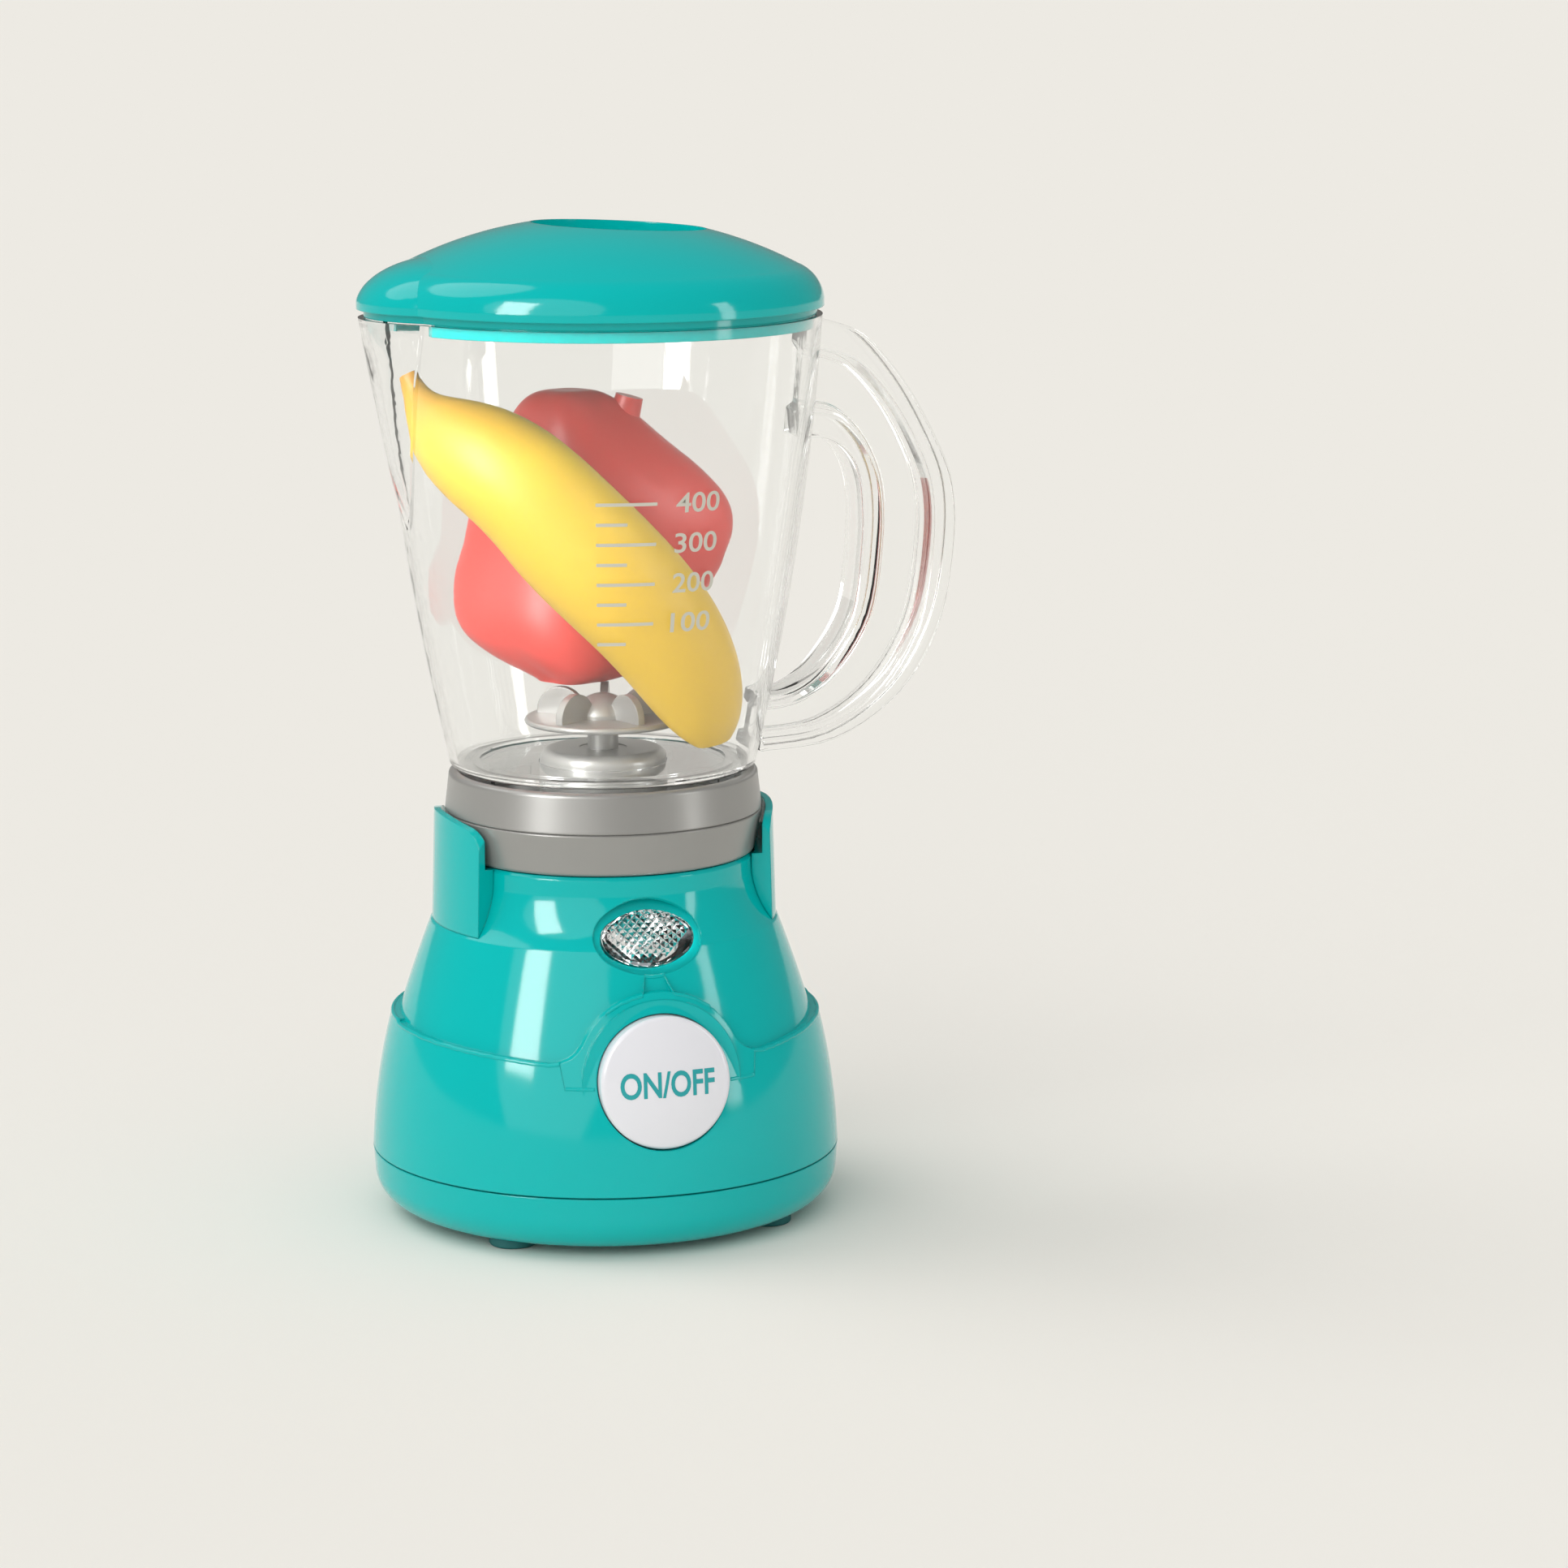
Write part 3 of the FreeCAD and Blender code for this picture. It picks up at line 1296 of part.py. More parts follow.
spout_reach = number(S.spout_reach)
spout_radius = number(S.spout_radius)
flange = rim_disc(step_radius, spout_reach - step_in, spout_radius - step_in,
                  S.jug_rim + S.lid_gap, S.lid_edge_top)
opening = rim_disc(plug_inner, spout_reach - step_in - 2.2, spout_radius - step_in - 2.2,
                   S.jug_rim - S.plug_depth * 2, S.lid_edge_top + 0.5)
plug = turned(box_outline(plug_inner - 1.0, S.jug_rim - S.plug_depth, plug_radius,
                          S.jug_rim + S.lid_gap + 0.5))
clear_x = number(S.jug_rim_radius) * 0.86
plug = plug.cut(Part.makeBox(clear_x, clear_x * 2, clear_x,
                             V(-clear_x * 2, -clear_x, number(S.jug_rim) - clear_x / 2)))
hole_x = number(S.lid_hole_shift)
hole_low = S.lid_top - S.lid_hole_depth
throat = Part.makeCylinder(number(S.lid_hole_radius + S.lid_wall), number(S.lid_hole_depth),
                           V(hole_x, 0, number(hole_low)))
bore = Part.makeCylinder(number(S.lid_hole_radius), number(S.lid_hole_depth) * 3,
                         V(hole_x, 0, number(hole_low) - 2.0))
lid = outside.cut(hollow).fuse([flange, plug]).cut(opening)
lid = lid.fuse(throat.common(outside)).cut(bore)
free_form("lid", lid.removeSplitter())

# Play food: a lobed pepper behind and a banana across the front, in the frame of a viewer who
# stands a little to the left of the button

view_turn = math.radians(number(S.food_turn))


def food_point(across, away, height):
    return V(across * math.cos(view_turn) + away * math.sin(view_turn),
             away * math.cos(view_turn) - across * math.sin(view_turn), height)


def lobed_ring(across, away, height, half_width, half_depth, swell):
    """A level ring with a swell at each lobe."""
    points = []
    count = 16
    for index in range(count):
        turn = 2 * math.pi * index / count
        reach = 1 + swell * math.cos(number(S.pepper_lobes) * turn)
        points.append(food_point(across + half_width * reach * math.cos(turn),
                                 away + half_depth * reach * math.sin(turn), height))
    curve = Part.BSplineCurve()
    curve.interpolate(Points=points, PeriodicFlag=True)
    return Part.Wire(curve.toShape())


pepper_rows = [
    (-8.0, 10.0, 0.0, 8.0, 7.0, 0.10),
    (-7.0, 12.0, 5.0, 18.0, 14.0, 0.10),
    (-8.5, 15.0, 14.0, 27.5, 19.0, 0.07),
    (-4.0, 18.0, 29.0, 32.5, 21.0, 0.05),
    (-1.0, 18.0, 44.0, 32.0, 21.5, 0.05),
    (-4.0, 16.5, 57.0, 24.0, 18.0, 0.06),
    (-7.0, 15.0, 66.5, 16.0, 12.5, 0.07),
    (-8.5, 14.5, 72.5, 10.0, 8.0, 0.08),
    (-8.5, 14.5, 74.3, 4.0, 3.5, 0.05),
]
pepper_low = number(S.pepper_bottom)
pepper = Part.makeLoft([
    lobed_ring(across, away, pepper_low + up, half_width, half_depth, swell)
    for across, away, up, half_width, half_depth, swell in pepper_rows
], True, False)
stem_foot = food_point(3.5, 15.0, pepper_low + 60.0)
stem_way = food_point(0.25, 0.0, 0.97)
stem = Part.makeCone(number(S.pepper_stem_radius) + 1.0, number(S.pepper_stem_radius), 13.0,
                     stem_foot, stem_way)
free_form("pepper", pepper.fuse(stem).removeSplitter())

banana_path = [
    (-47.0, -14.0, 215.5, 2.6),
    (-45.0, -15.5, 211.0, 3.6),
    (-40.0, -18.0, 204.5, 8.0),
    (-27.0, -24.0, 196.0, 13.6),
    (-9.5, -27.0, 180.7, 15.6),
    (9.0, -24.5, 161.2, 15.6),
    (20.2, -18.4, 145.0, 13.8),
    (25.6, -14.7, 132.0, 10.2),
    (28.0, -13.5, 123.5, 4.6),
]
middles = [food_point(*row[:3]) for row in banana_path]
rings = []
for index, row in enumerate(banana_path):
    before = middles[max(index - 1, 0)]
    after = middles[min(index + 1, len(middles) - 1)]
    rings.append(Part.Wire(Part.makeCircle(row[3], middles[index], after - before)))
banana = Part.makeLoft(rings, True, False)
free_form("banana", banana)

# Every piece is checked, then written

doc.recompute()
for item in doc.Objects:
    if "Invalid" in item.State or "Error" in item.State:
        raise RuntimeError(f"{item.Label} did not build")
os.makedirs("parts", exist_ok=True)
for item in nodes:
    if item.Shape.isNull() or not item.Shape.isValid():
        raise RuntimeError(f"{item.Label} has no sound shape")
for item in nodes:
    item.Shape.exportStep(f"parts/{item.Label}.step")
print(len(nodes), "pieces written")
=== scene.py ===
"""Toy blender: the looks of every piece, in the order in which the toy is put together."""
from math import atan2, cos, pi, radians, sin, tan

import bmesh
import bpy
from mathutils import Matrix, Vector
from mathutils.bvhtree import BVHTree


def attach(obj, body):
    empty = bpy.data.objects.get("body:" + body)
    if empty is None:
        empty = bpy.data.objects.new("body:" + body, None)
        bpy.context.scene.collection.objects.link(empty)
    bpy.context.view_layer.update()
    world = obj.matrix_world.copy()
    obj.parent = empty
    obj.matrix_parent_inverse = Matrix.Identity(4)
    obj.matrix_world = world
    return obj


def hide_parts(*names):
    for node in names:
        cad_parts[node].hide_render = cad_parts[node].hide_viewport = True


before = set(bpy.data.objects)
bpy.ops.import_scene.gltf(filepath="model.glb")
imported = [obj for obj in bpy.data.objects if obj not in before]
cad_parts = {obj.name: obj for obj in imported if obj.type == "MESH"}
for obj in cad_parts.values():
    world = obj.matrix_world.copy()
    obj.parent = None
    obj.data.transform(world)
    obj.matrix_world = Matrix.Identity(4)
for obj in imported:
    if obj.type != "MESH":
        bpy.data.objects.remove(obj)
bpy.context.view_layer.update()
MM = 0.001

# Studio: one pale sheet that runs from under the toy to the horizon, an even pale sky that
# gloss plastic mirrors only faintly, a soft sun from behind the left side, a weaker one that
# fills the front, and two tall softboxes that show only as long highlights on gloss plastic.
PAPER = (0.847, 0.823, 0.768, 1)
SKY_LIGHT = 0.66
SKY_GLOSS = 0.26
BACK_LIGHT = 0.76
FRONT_LIGHT = 1.15
FLOOR_REACH = 60
FLOOR_SQUARES = 8
PAPER_ROUGHNESS = 0.9

scene = bpy.context.scene
scene.view_settings.view_transform = "Standard"

world = bpy.data.worlds.new("studio")
scene.world = world
world.use_nodes = True
tree = world.node_tree
tree.nodes.clear()
seen = tree.nodes.new("ShaderNodeLightPath")


def sky(colour, strength):
    node = tree.nodes.new("ShaderNodeBackground")
    node.inputs["Color"].default_value = colour
    node.inputs["Strength"].default_value = strength
    return node


direct = tree.nodes.new("ShaderNodeMath")
direct.operation = "MAXIMUM"
tree.links.new(seen.outputs["Is Camera Ray"], direct.inputs[0])
tree.links.new(seen.outputs["Is Transmission Ray"], direct.inputs[1])
mirrored = tree.nodes.new("ShaderNodeMixShader")
choice = tree.nodes.new("ShaderNodeMixShader")
world_out = tree.nodes.new("ShaderNodeOutputWorld")
tree.links.new(seen.outputs["Is Glossy Ray"], mirrored.inputs["Fac"])
tree.links.new(sky((1, 1, 1, 1), SKY_LIGHT).outputs[0], mirrored.inputs[1])
tree.links.new(sky(PAPER, SKY_GLOSS).outputs[0], mirrored.inputs[2])
tree.links.new(direct.outputs[0], choice.inputs["Fac"])
tree.links.new(mirrored.outputs[0], choice.inputs[1])
tree.links.new(sky(PAPER, 1).outputs[0], choice.inputs[2])
tree.links.new(choice.outputs[0], world_out.inputs["Surface"])

form = bmesh.new()
bmesh.ops.create_grid(form, x_segments=FLOOR_SQUARES, y_segments=FLOOR_SQUARES, size=FLOOR_REACH)
floor_mesh = bpy.data.meshes.new("floor")
form.to_mesh(floor_mesh)
form.free()
floor = bpy.data.objects.new("floor", floor_mesh)
scene.collection.objects.link(floor)
paper = bpy.data.materials.new("paper")
paper.use_nodes = True
shader = paper.node_tree.nodes["Principled BSDF"]
shader.inputs["Base Color"].default_value = PAPER
shader.inputs["Roughness"].default_value = PAPER_ROUGHNESS
shader.inputs["Specular IOR Level"].default_value = 0
floor_mesh.materials.append(paper)



def sunlight(name, energy, spread, lean, turn):
    """A soft distant light, leant from overhead and turned about the upright axis, in degrees."""
    lamp = bpy.data.objects.new(name, bpy.data.lights.new(name, "SUN"))
    lamp.data.energy = energy
    lamp.data.angle = radians(spread)
    lamp.rotation_euler = (radians(lean), 0, radians(turn))
    scene.collection.objects.link(lamp)


sunlight("back_sun", BACK_LIGHT, 40, 38, -124)
sunlight("front_fill", FRONT_LIGHT, 60, 66, -46)

# Camera: a long lens a little above the jug, turned so that the button is right of centre.
CAMERA_TURN = radians(17.5)
CAMERA_TIP = radians(10.65)
CAMERA_DISTANCE = 1.1946
CAMERA_AIM = Vector((0.0441, -0.0139, 0.1096))
CAMERA_LENS = 107.14
CAMERA_FAR = 200
PANEL_AIM = Vector((0, 0, 0.13))
camera = bpy.data.objects.new("camera", bpy.data.cameras.new("camera"))
camera.data.lens = CAMERA_LENS
camera.data.clip_end = CAMERA_FAR
look = Vector((
    sin(CAMERA_TURN) * cos(CAMERA_TIP),
    cos(CAMERA_TURN) * cos(CAMERA_TIP),
    -sin(CAMERA_TIP),
))
camera.location = CAMERA_AIM - look * CAMERA_DISTANCE
camera.rotation_euler = look.to_track_quat("-Z", "Y").to_euler()
scene.collection.objects.link(camera)
scene.camera = camera


def softbox(name, place, wide, tall, energy):
    """A lit panel that faces the middle of the jug and shows only in its highlights."""
    lamp = bpy.data.objects.new(name, bpy.data.lights.new(name, "AREA"))
    lamp.data.shape = "RECTANGLE"
    lamp.data.size = wide
    lamp.data.size_y = tall
    lamp.data.energy = energy
    lamp.visible_diffuse = False
    lamp.location = place
    aim = PANEL_AIM - lamp.location
    lamp.rotation_euler = aim.to_track_quat("-Z", "Y").to_euler()
    scene.collection.objects.link(lamp)


softbox("left_panel", Vector((-0.95, -0.55, 0.62)), 0.34, 0.80, 15)
softbox("right_panel", Vector((0.95, -0.75, 0.45)), 0.18, 0.80, 3.0)

# Bottom tray, battery door and feet: the tray is moulded in one shot in gloss plastic, the
# door drops into it and takes one screw, and four soft pads are glued into shallow
# recesses. Screws are plated self-tappers.
TEAL = (0.0, 0.470, 0.455)
STEEL = (0.55, 0.56, 0.58)
RUBBER = (0.02, 0.15, 0.15)
FINE_GRAIN = 2600
GRAIN_DEPTH = 0.0002
SCREW_HEAD_RADIUS = 2.6
SCREW_HEAD_HEIGHT = 1.6
SCREW_SHANK_RADIUS = 1.4
THREAD_PITCH = 0.7
THREAD_VALLEY = 0.72
FOOT_PLACE = 33.5
FOOT_RADIUS = 6
FOOT_TOP = 2.8


def skin_group():
    """Moulded plastic: a faint cloud in the colour, uneven gloss and a fine grain."""
    group = bpy.data.node_groups.new("moulded_skin", "ShaderNodeTree")
    face = group.interface
    for name, kind in (("Position", "Vector"), ("Colour", "Color"), ("Deep", "Color"), ("Scale", "Float"),
                       ("Mottle", "Float"), ("Rough", "Float"), ("Spread", "Float")):
        face.new_socket(name=name, in_out="INPUT", socket_type="NodeSocket" + kind)
    face.new_socket(name="Color", in_out="OUTPUT", socket_type="NodeSocketColor")
    face.new_socket(name="Roughness", in_out="OUTPUT", socket_type="NodeSocketFloat")
    face.new_socket(name="Height", in_out="OUTPUT", socket_type="NodeSocketFloat")
    nodes, links = group.nodes, group.links
    into = nodes.new("NodeGroupInput")
    out = nodes.new("NodeGroupOutput")
    cloud = nodes.new("ShaderNodeTexNoise")
    cloud.inputs["Detail"].default_value = 3
    fine = nodes.new("ShaderNodeTexNoise")
    fine.inputs["Scale"].default_value = FINE_GRAIN
    share = nodes.new("ShaderNodeMath")
    share.operation = "MULTIPLY"
    mix = nodes.new("ShaderNodeMix")
    mix.data_type = "RGBA"
    gloss = nodes.new("ShaderNodeMath")
    gloss.operation = "MULTIPLY_ADD"
    links.new(into.outputs["Position"], cloud.inputs["Vector"])
    links.new(into.outputs["Scale"], cloud.inputs["Scale"])
    links.new(into.outputs["Position"], fine.inputs["Vector"])
    links.new(cloud.outputs["Fac"], share.inputs[0])
    links.new(into.outputs["Mottle"], share.inputs[1])
    links.new(share.outputs[0], mix.inputs["Factor"])
    links.new(into.outputs["Colour"], mix.inputs["A"])
    links.new(into.outputs["Deep"], mix.inputs["B"])
    links.new(cloud.outputs["Fac"], gloss.inputs[0])
    links.new(into.outputs["Spread"], gloss.inputs[1])
    links.new(into.outputs["Rough"], gloss.inputs[2])
    links.new(mix.outputs["Result"], out.inputs["Color"])
    links.new(gloss.outputs[0], out.inputs["Roughness"])
    links.new(fine.outputs["Fac"], out.inputs["Height"])
    return group


SKIN = skin_group()


def surface(name, colour, rough, deep=0.86, mottle=0.35, spread=0.05, grain=0.02, scale=90, metallic=0.0,
            edge=0.0, specular=0.5):
    """A material whose colour, gloss and grain come from the moulded skin."""
    material = bpy.data.materials.new(name)
    material.use_nodes = True
    nodes, links = material.node_tree.nodes, material.node_tree.links
    shader = nodes["Principled BSDF"]
    place = nodes.new("ShaderNodeTexCoord")
    skin = nodes.new("ShaderNodeGroup")
    skin.node_tree = SKIN
    skin.inputs["Colour"].default_value = (*colour, 1)
    skin.inputs["Deep"].default_value = (*[part * deep for part in colour], 1)
    skin.inputs["Scale"].default_value = scale
    skin.inputs["Mottle"].default_value = mottle
    skin.inputs["Rough"].default_value = rough
    skin.inputs["Spread"].default_value = spread
    bump = nodes.new("ShaderNodeBump")
    bump.inputs["Strength"].default_value = grain
    bump.inputs["Distance"].default_value = GRAIN_DEPTH
    links.new(place.outputs["Object"], skin.inputs["Position"])
    links.new(skin.outputs["Color"], shader.inputs["Base Color"])
    links.new(skin.outputs["Roughness"], shader.inputs["Roughness"])
    links.new(skin.outputs["Height"], bump.inputs["Height"])
    links.new(bump.outputs["Normal"], shader.inputs["Normal"])
    if edge:
        rim = nodes.new("ShaderNodeBevel")
        rim.samples = 4
        rim.inputs["Radius"].default_value = edge * MM
        links.new(rim.outputs["Normal"], bump.inputs["Normal"])
    shader.inputs["Metallic"].default_value = metallic
    shader.inputs["Specular IOR Level"].default_value = specular
    return material


def dress(material, *names):
    """A plain solid keeps its own mesh and takes a material."""
    for name in names:
        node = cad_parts[name]
        node.data.materials.clear()
        node.data.materials.append(material)


def rounded(corners, steps=5):
    """A closed outline of (across, up, radius) corners, with the corners rounded."""
    points = []
    around = zip(corners[-1:] + corners[:-1], corners, corners[1:] + corners[:1])
    for before, corner, after in around:
        here = Vector(corner[:2])
        if corner[2] == 0:
            points.append(here)
            continue
        back = (Vector(before[:2]) - here).normalized()
        ahead = (Vector(after[:2]) - here).normalized()
        half = back.angle(ahead) / 2
        middle = here + (back + ahead).normalized() * corner[2] / sin(half)
        first = here + back * corner[2] / tan(half) - middle
        last = here + ahead * corner[2] / tan(half) - middle
        start = atan2(first.y, first.x)
        turn = (atan2(last.y, last.x) - start + pi) % (2 * pi) - pi
        for step in range(steps + 1):
            way = start + turn * step / steps
            points.append(middle + Vector((cos(way), sin(way))) * corner[2])
    return points


def lathe(outline, steps=128, middle=(0, 0)):
    """A closed outline of (radius, height) points turned about an upright axis, in mm."""
    form = bmesh.new()
    ring = [form.verts.new((point[0] * MM, 0, point[1] * MM)) for point in outline]
    edges = [form.edges.new(pair) for pair in zip(ring, ring[1:] + ring[:1])]
    bmesh.ops.spin(form, geom=ring + edges, cent=(0, 0, 0), axis=(0, 0, 1), angle=2 * pi, steps=steps,
                   use_merge=True)
    bmesh.ops.translate(form, verts=form.verts, vec=(middle[0] * MM, middle[1] * MM, 0))
    return form


def joined(forms):
    """Several forms as one."""
    whole = bmesh.new()
    for form in forms:
        part = bpy.data.meshes.new("part")
        form.to_mesh(part)
        form.free()
        whole.from_mesh(part)
        bpy.data.meshes.remove(part)
    return whole


def piece(form, name, body, slot, material, *nodes, sharp=34):
    """A form becomes a smooth piece that rides on its body and stands for plain solids."""
    bmesh.ops.remove_doubles(form, verts=form.verts, dist=MM * 0.002)
    bmesh.ops.recalc_face_normals(form, faces=form.faces)
    mesh = bpy.data.meshes.new(name)
    form.to_mesh(mesh)
    form.free()
    mesh.materials.append(material)
    mesh.polygons.foreach_set("use_smooth", [True] * len(mesh.polygons))
    mesh.set_sharp_from_angle(angle=radians(sharp))
    item = bpy.data.objects.new(name, mesh)
    scene.collection.objects.link(item)
    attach(item, body)
    if nodes:
        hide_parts(*nodes)
    return item


teal = surface("teal_gloss", TEAL, 0.06, deep=0.93, mottle=0.30, spread=0.06, grain=0.012, edge=0.5,
               specular=0.32)
steel = surface("plated_steel", STEEL, 0.28, deep=0.8, metallic=1.0, scale=300, grain=0.04)
rubber = surface("soft_pad", RUBBER, 0.75, deep=0.7, mottle=0.6, grain=0.3, specular=0.3)
dress(teal, "bottom_tray", "battery_door")

feet = []
foot_corners = [(0, 0, 0), (FOOT_RADIUS, 0, 0.8), (FOOT_RADIUS, FOOT_TOP, 0.2), (0, FOOT_TOP, 0)]
for x in (-FOOT_PLACE, FOOT_PLACE):
    for y in (-FOOT_PLACE, FOOT_PLACE):
        feet.append(lathe(rounded(foot_corners), 48, (x, y)))
piece(joined(feet), "rubber_pads", "base", "rubber_pad", rubber, "rubber_feet")


def screw(x, y, foot, length):
    """A pan head with a cross on it, under a shank with thread ridges and a point."""
    head_radius, head_height, shank_radius = SCREW_HEAD_RADIUS, SCREW_HEAD_HEIGHT, SCREW_SHANK_RADIUS
    valley = shank_radius * THREAD_VALLEY
    ridges = [(0, foot + head_height + length, 0)]
    pitch = shank_radius * THREAD_PITCH
    count = int((length - shank_radius * 2) / pitch)
    for turn in range(count):
        low = foot + head_height + length - shank_radius - turn * pitch
        ridges += [(shank_radius, low, 0), (valley, low - pitch / 2, 0)]
    head = [
        (valley, foot + head_height, 0),
        (head_radius, foot + head_height, 0.2),
        (head_radius, foot + head_height * 0.35, head_height * 0.3),
        (head_radius * 0.6, foot, head_radius * 0.2),
        (0, foot, 0),
    ]
    form = lathe(rounded(ridges + head, 3), 32, (x, y))
    for way in (0, pi / 2):
        slot = bmesh.new()
        spot = Matrix.Translation((x * MM, y * MM, foot * MM)) @ Matrix.Rotation(way, 4, "Z")
        extent = Matrix.Diagonal((head_radius * 1.1 * MM, head_radius * 0.24 * MM, 0.1 * MM, 1))
        bmesh.ops.create_cube(slot, size=1, matrix=spot @ extent)
        bmesh.ops.bevel(slot, geom=slot.edges[:], affect="EDGES", offset=0.04 * MM, segments=2,
                        profile=0.5, material=-1)
        form = joined([form, slot])
    return form


tray_screws = [screw(x, y, 2.4, 28.4) for x in (-41, 41) for y in (-16, 16)]
piece(joined(tray_screws), "tray_screws", "base", "steel", steel, "housing_screws")
piece(screw(32, 0, 2.15, 5.4), "door_fastener", "base", "steel", steel, "door_screw")

# Drive inside the base: two AA cells in printed sleeves between sprung contacts, a small
# can motor on a black bracket, and a pair of acetal gears that turn the spindle. All of it
# is screwed or pressed in from below before the tray goes on.
BLACK = (0.018, 0.018, 0.02)
ACETAL = (0.78, 0.76, 0.70)


def shaded(material, axis, low, high, colour):
    """The colour of a material turns into another one between two places along an axis, in mm."""
    nodes, links = material.node_tree.nodes, material.node_tree.links
    shader = nodes["Principled BSDF"]
    split = nodes.new("ShaderNodeSeparateXYZ")
    share = nodes.new("ShaderNodeMapRange")
    share.inputs["From Min"].default_value = low * MM
    share.inputs["From Max"].default_value = high * MM
    mix = nodes.new("ShaderNodeMix")
    mix.data_type = "RGBA"
    mix.inputs["B"].default_value = (*colour, 1)
    source = shader.inputs["Base Color"].links[0].from_socket
    links.new(nodes["Texture Coordinate"].outputs["Object"], split.inputs[0])
    links.new(split.outputs[axis], share.inputs["Value"])
    links.new(share.outputs["Result"], mix.inputs["Factor"])
    links.new(source, mix.inputs["A"])
    links.new(mix.outputs["Result"], shader.inputs["Base Color"])
    return material


black = surface("black_moulding", BLACK, 0.42, deep=0.6, grain=0.08)
acetal = surface("acetal", ACETAL, 0.38, deep=0.94, grain=0.03)
sleeve = shaded(surface("cell_sleeve", (0.03, 0.035, 0.045), 0.22, scale=500), 0, 9, 9.4, (0.62, 0.40, 0.12))
can = surface("motor_can", (0.50, 0.51, 0.53), 0.32, deep=0.7, metallic=1.0, scale=500, grain=0.08)
board = surface("board_laminate", (0.02, 0.13, 0.05), 0.35, deep=0.35, mottle=0.9, scale=700, grain=0.1)
plated = surface("reflector_plating", (0.86, 0.87, 0.88), 0.06, deep=0.93, metallic=1.0, grain=0.005)
white = surface("white_gloss", (0.80, 0.80, 0.84), 0.12, deep=0.97, grain=0.01, edge=0.4, specular=0.45)
dress(sleeve, "aa_cells")
dress(steel, "battery_contacts", "bracket_screws", "motor_shaft", "spindle", "button_spring")
dress(can, "motor")
dress(black, "motor_plate", "push_switch", "drive_coupling", "driven_coupling")
dress(acetal, "motor_pinion", "drive_gear")
dress(board, "circuit_board")

# Base housing: the gloss upper shell of the base with its waved apron, and two side guards
# of the same plastic that clip over the neck. A rolled bead finishes the apron's edge.
BEAD_RADIUS = 0.6
BEAD_SETBACK = 0.35
BEAD_STEPS = 240
BEAD_SIDES = 10
SEARCH_TOP = 70.0
SEARCH_LOW = 44
SEARCH_STEP = 0.2
LEDGE_WIDTH = 0.9
dress(teal, "base_housing", "side_guards")


def shell_of(*names):
    """The outer faces of some solids, for finding where something lies on them."""
    whole = bmesh.new()
    for name in names:
        whole.from_mesh(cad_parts[name].data)
    found = BVHTree.FromBMesh(whole)
    whole.free()
    return found


def reach_at(shell, turn, height):
    """How far out the shell stands at a turn about the axis and a height, in mm."""
    outward = Vector((cos(turn), sin(turn), 0))
    hit = shell.ray_cast(outward * 90 * MM + Vector((0, 0, height * MM)), -outward)[0]
    return Vector((hit.x, hit.y)).length / MM if hit is not None else 0


housing = shell_of("base_housing")
edge_line = []
for step in range(BEAD_STEPS):
    turn = 2 * pi * step / BEAD_STEPS
    height = SEARCH_TOP
    below = height - SEARCH_STEP
    while (height > SEARCH_LOW
           and reach_at(housing, turn, below) - reach_at(housing, turn, height) < LEDGE_WIDTH):
        height -= SEARCH_STEP
        below = height - SEARCH_STEP
    edge_line.append((turn, below))
tube = bmesh.new()
rings = []
for turn, height in edge_line:
    outward = Vector((cos(turn), sin(turn), 0))
    middle = outward * (reach_at(housing, turn, height - 0.3) - BEAD_SETBACK)
    middle.z = height - BEAD_SETBACK
    ring = []
    for part in range(BEAD_SIDES):
        way = 2 * pi * part / BEAD_SIDES
        side = outward * cos(way) + Vector((0, 0, sin(way)))
        ring.append(tube.verts.new((middle + side * BEAD_RADIUS) * MM))
    rings.append([tube.edges.new(pair) for pair in zip(ring, ring[1:] + ring[:1])])
for ring, following in zip(rings, rings[1:] + rings[:1]):
    bmesh.ops.bridge_loops(tube, edges=ring + following)
piece(tube, "apron_bead", "base", "teal_plastic", teal)

# Button and lamp: a white cap with ON/OFF printed in the base colour, and a clear lens with
# diamond prisms over a plated cup that holds the lamp.
BUTTON_HEIGHT = 44.6
BUTTON_REACH = 56.8
BUTTON_TILT = radians(5.5)
LAMP_HEIGHT = 78.6
LAMP_REACH = 42.4
LAMP_TILT = radians(24)
PRISM_PITCH = 2.2
PRISM_COUNT = 20
PRISM_HEIGHT = 0.55
PRISM_HALF_WIDTH = 10.6
PRISM_HALF_HEIGHT = 6.2
PRISM_DEPTH = 4.6
INK_LIFT = 0.08


def facing(height, reach, tilt):
    """From flat (across, up) in mm to a tilted plane on the front of the toy."""
    return (Matrix.Translation((0, -reach * MM, height * MM)) @ Matrix.Rotation(-tilt, 4, "X")
            @ Matrix.Rotation(pi / 2, 4, "X"))


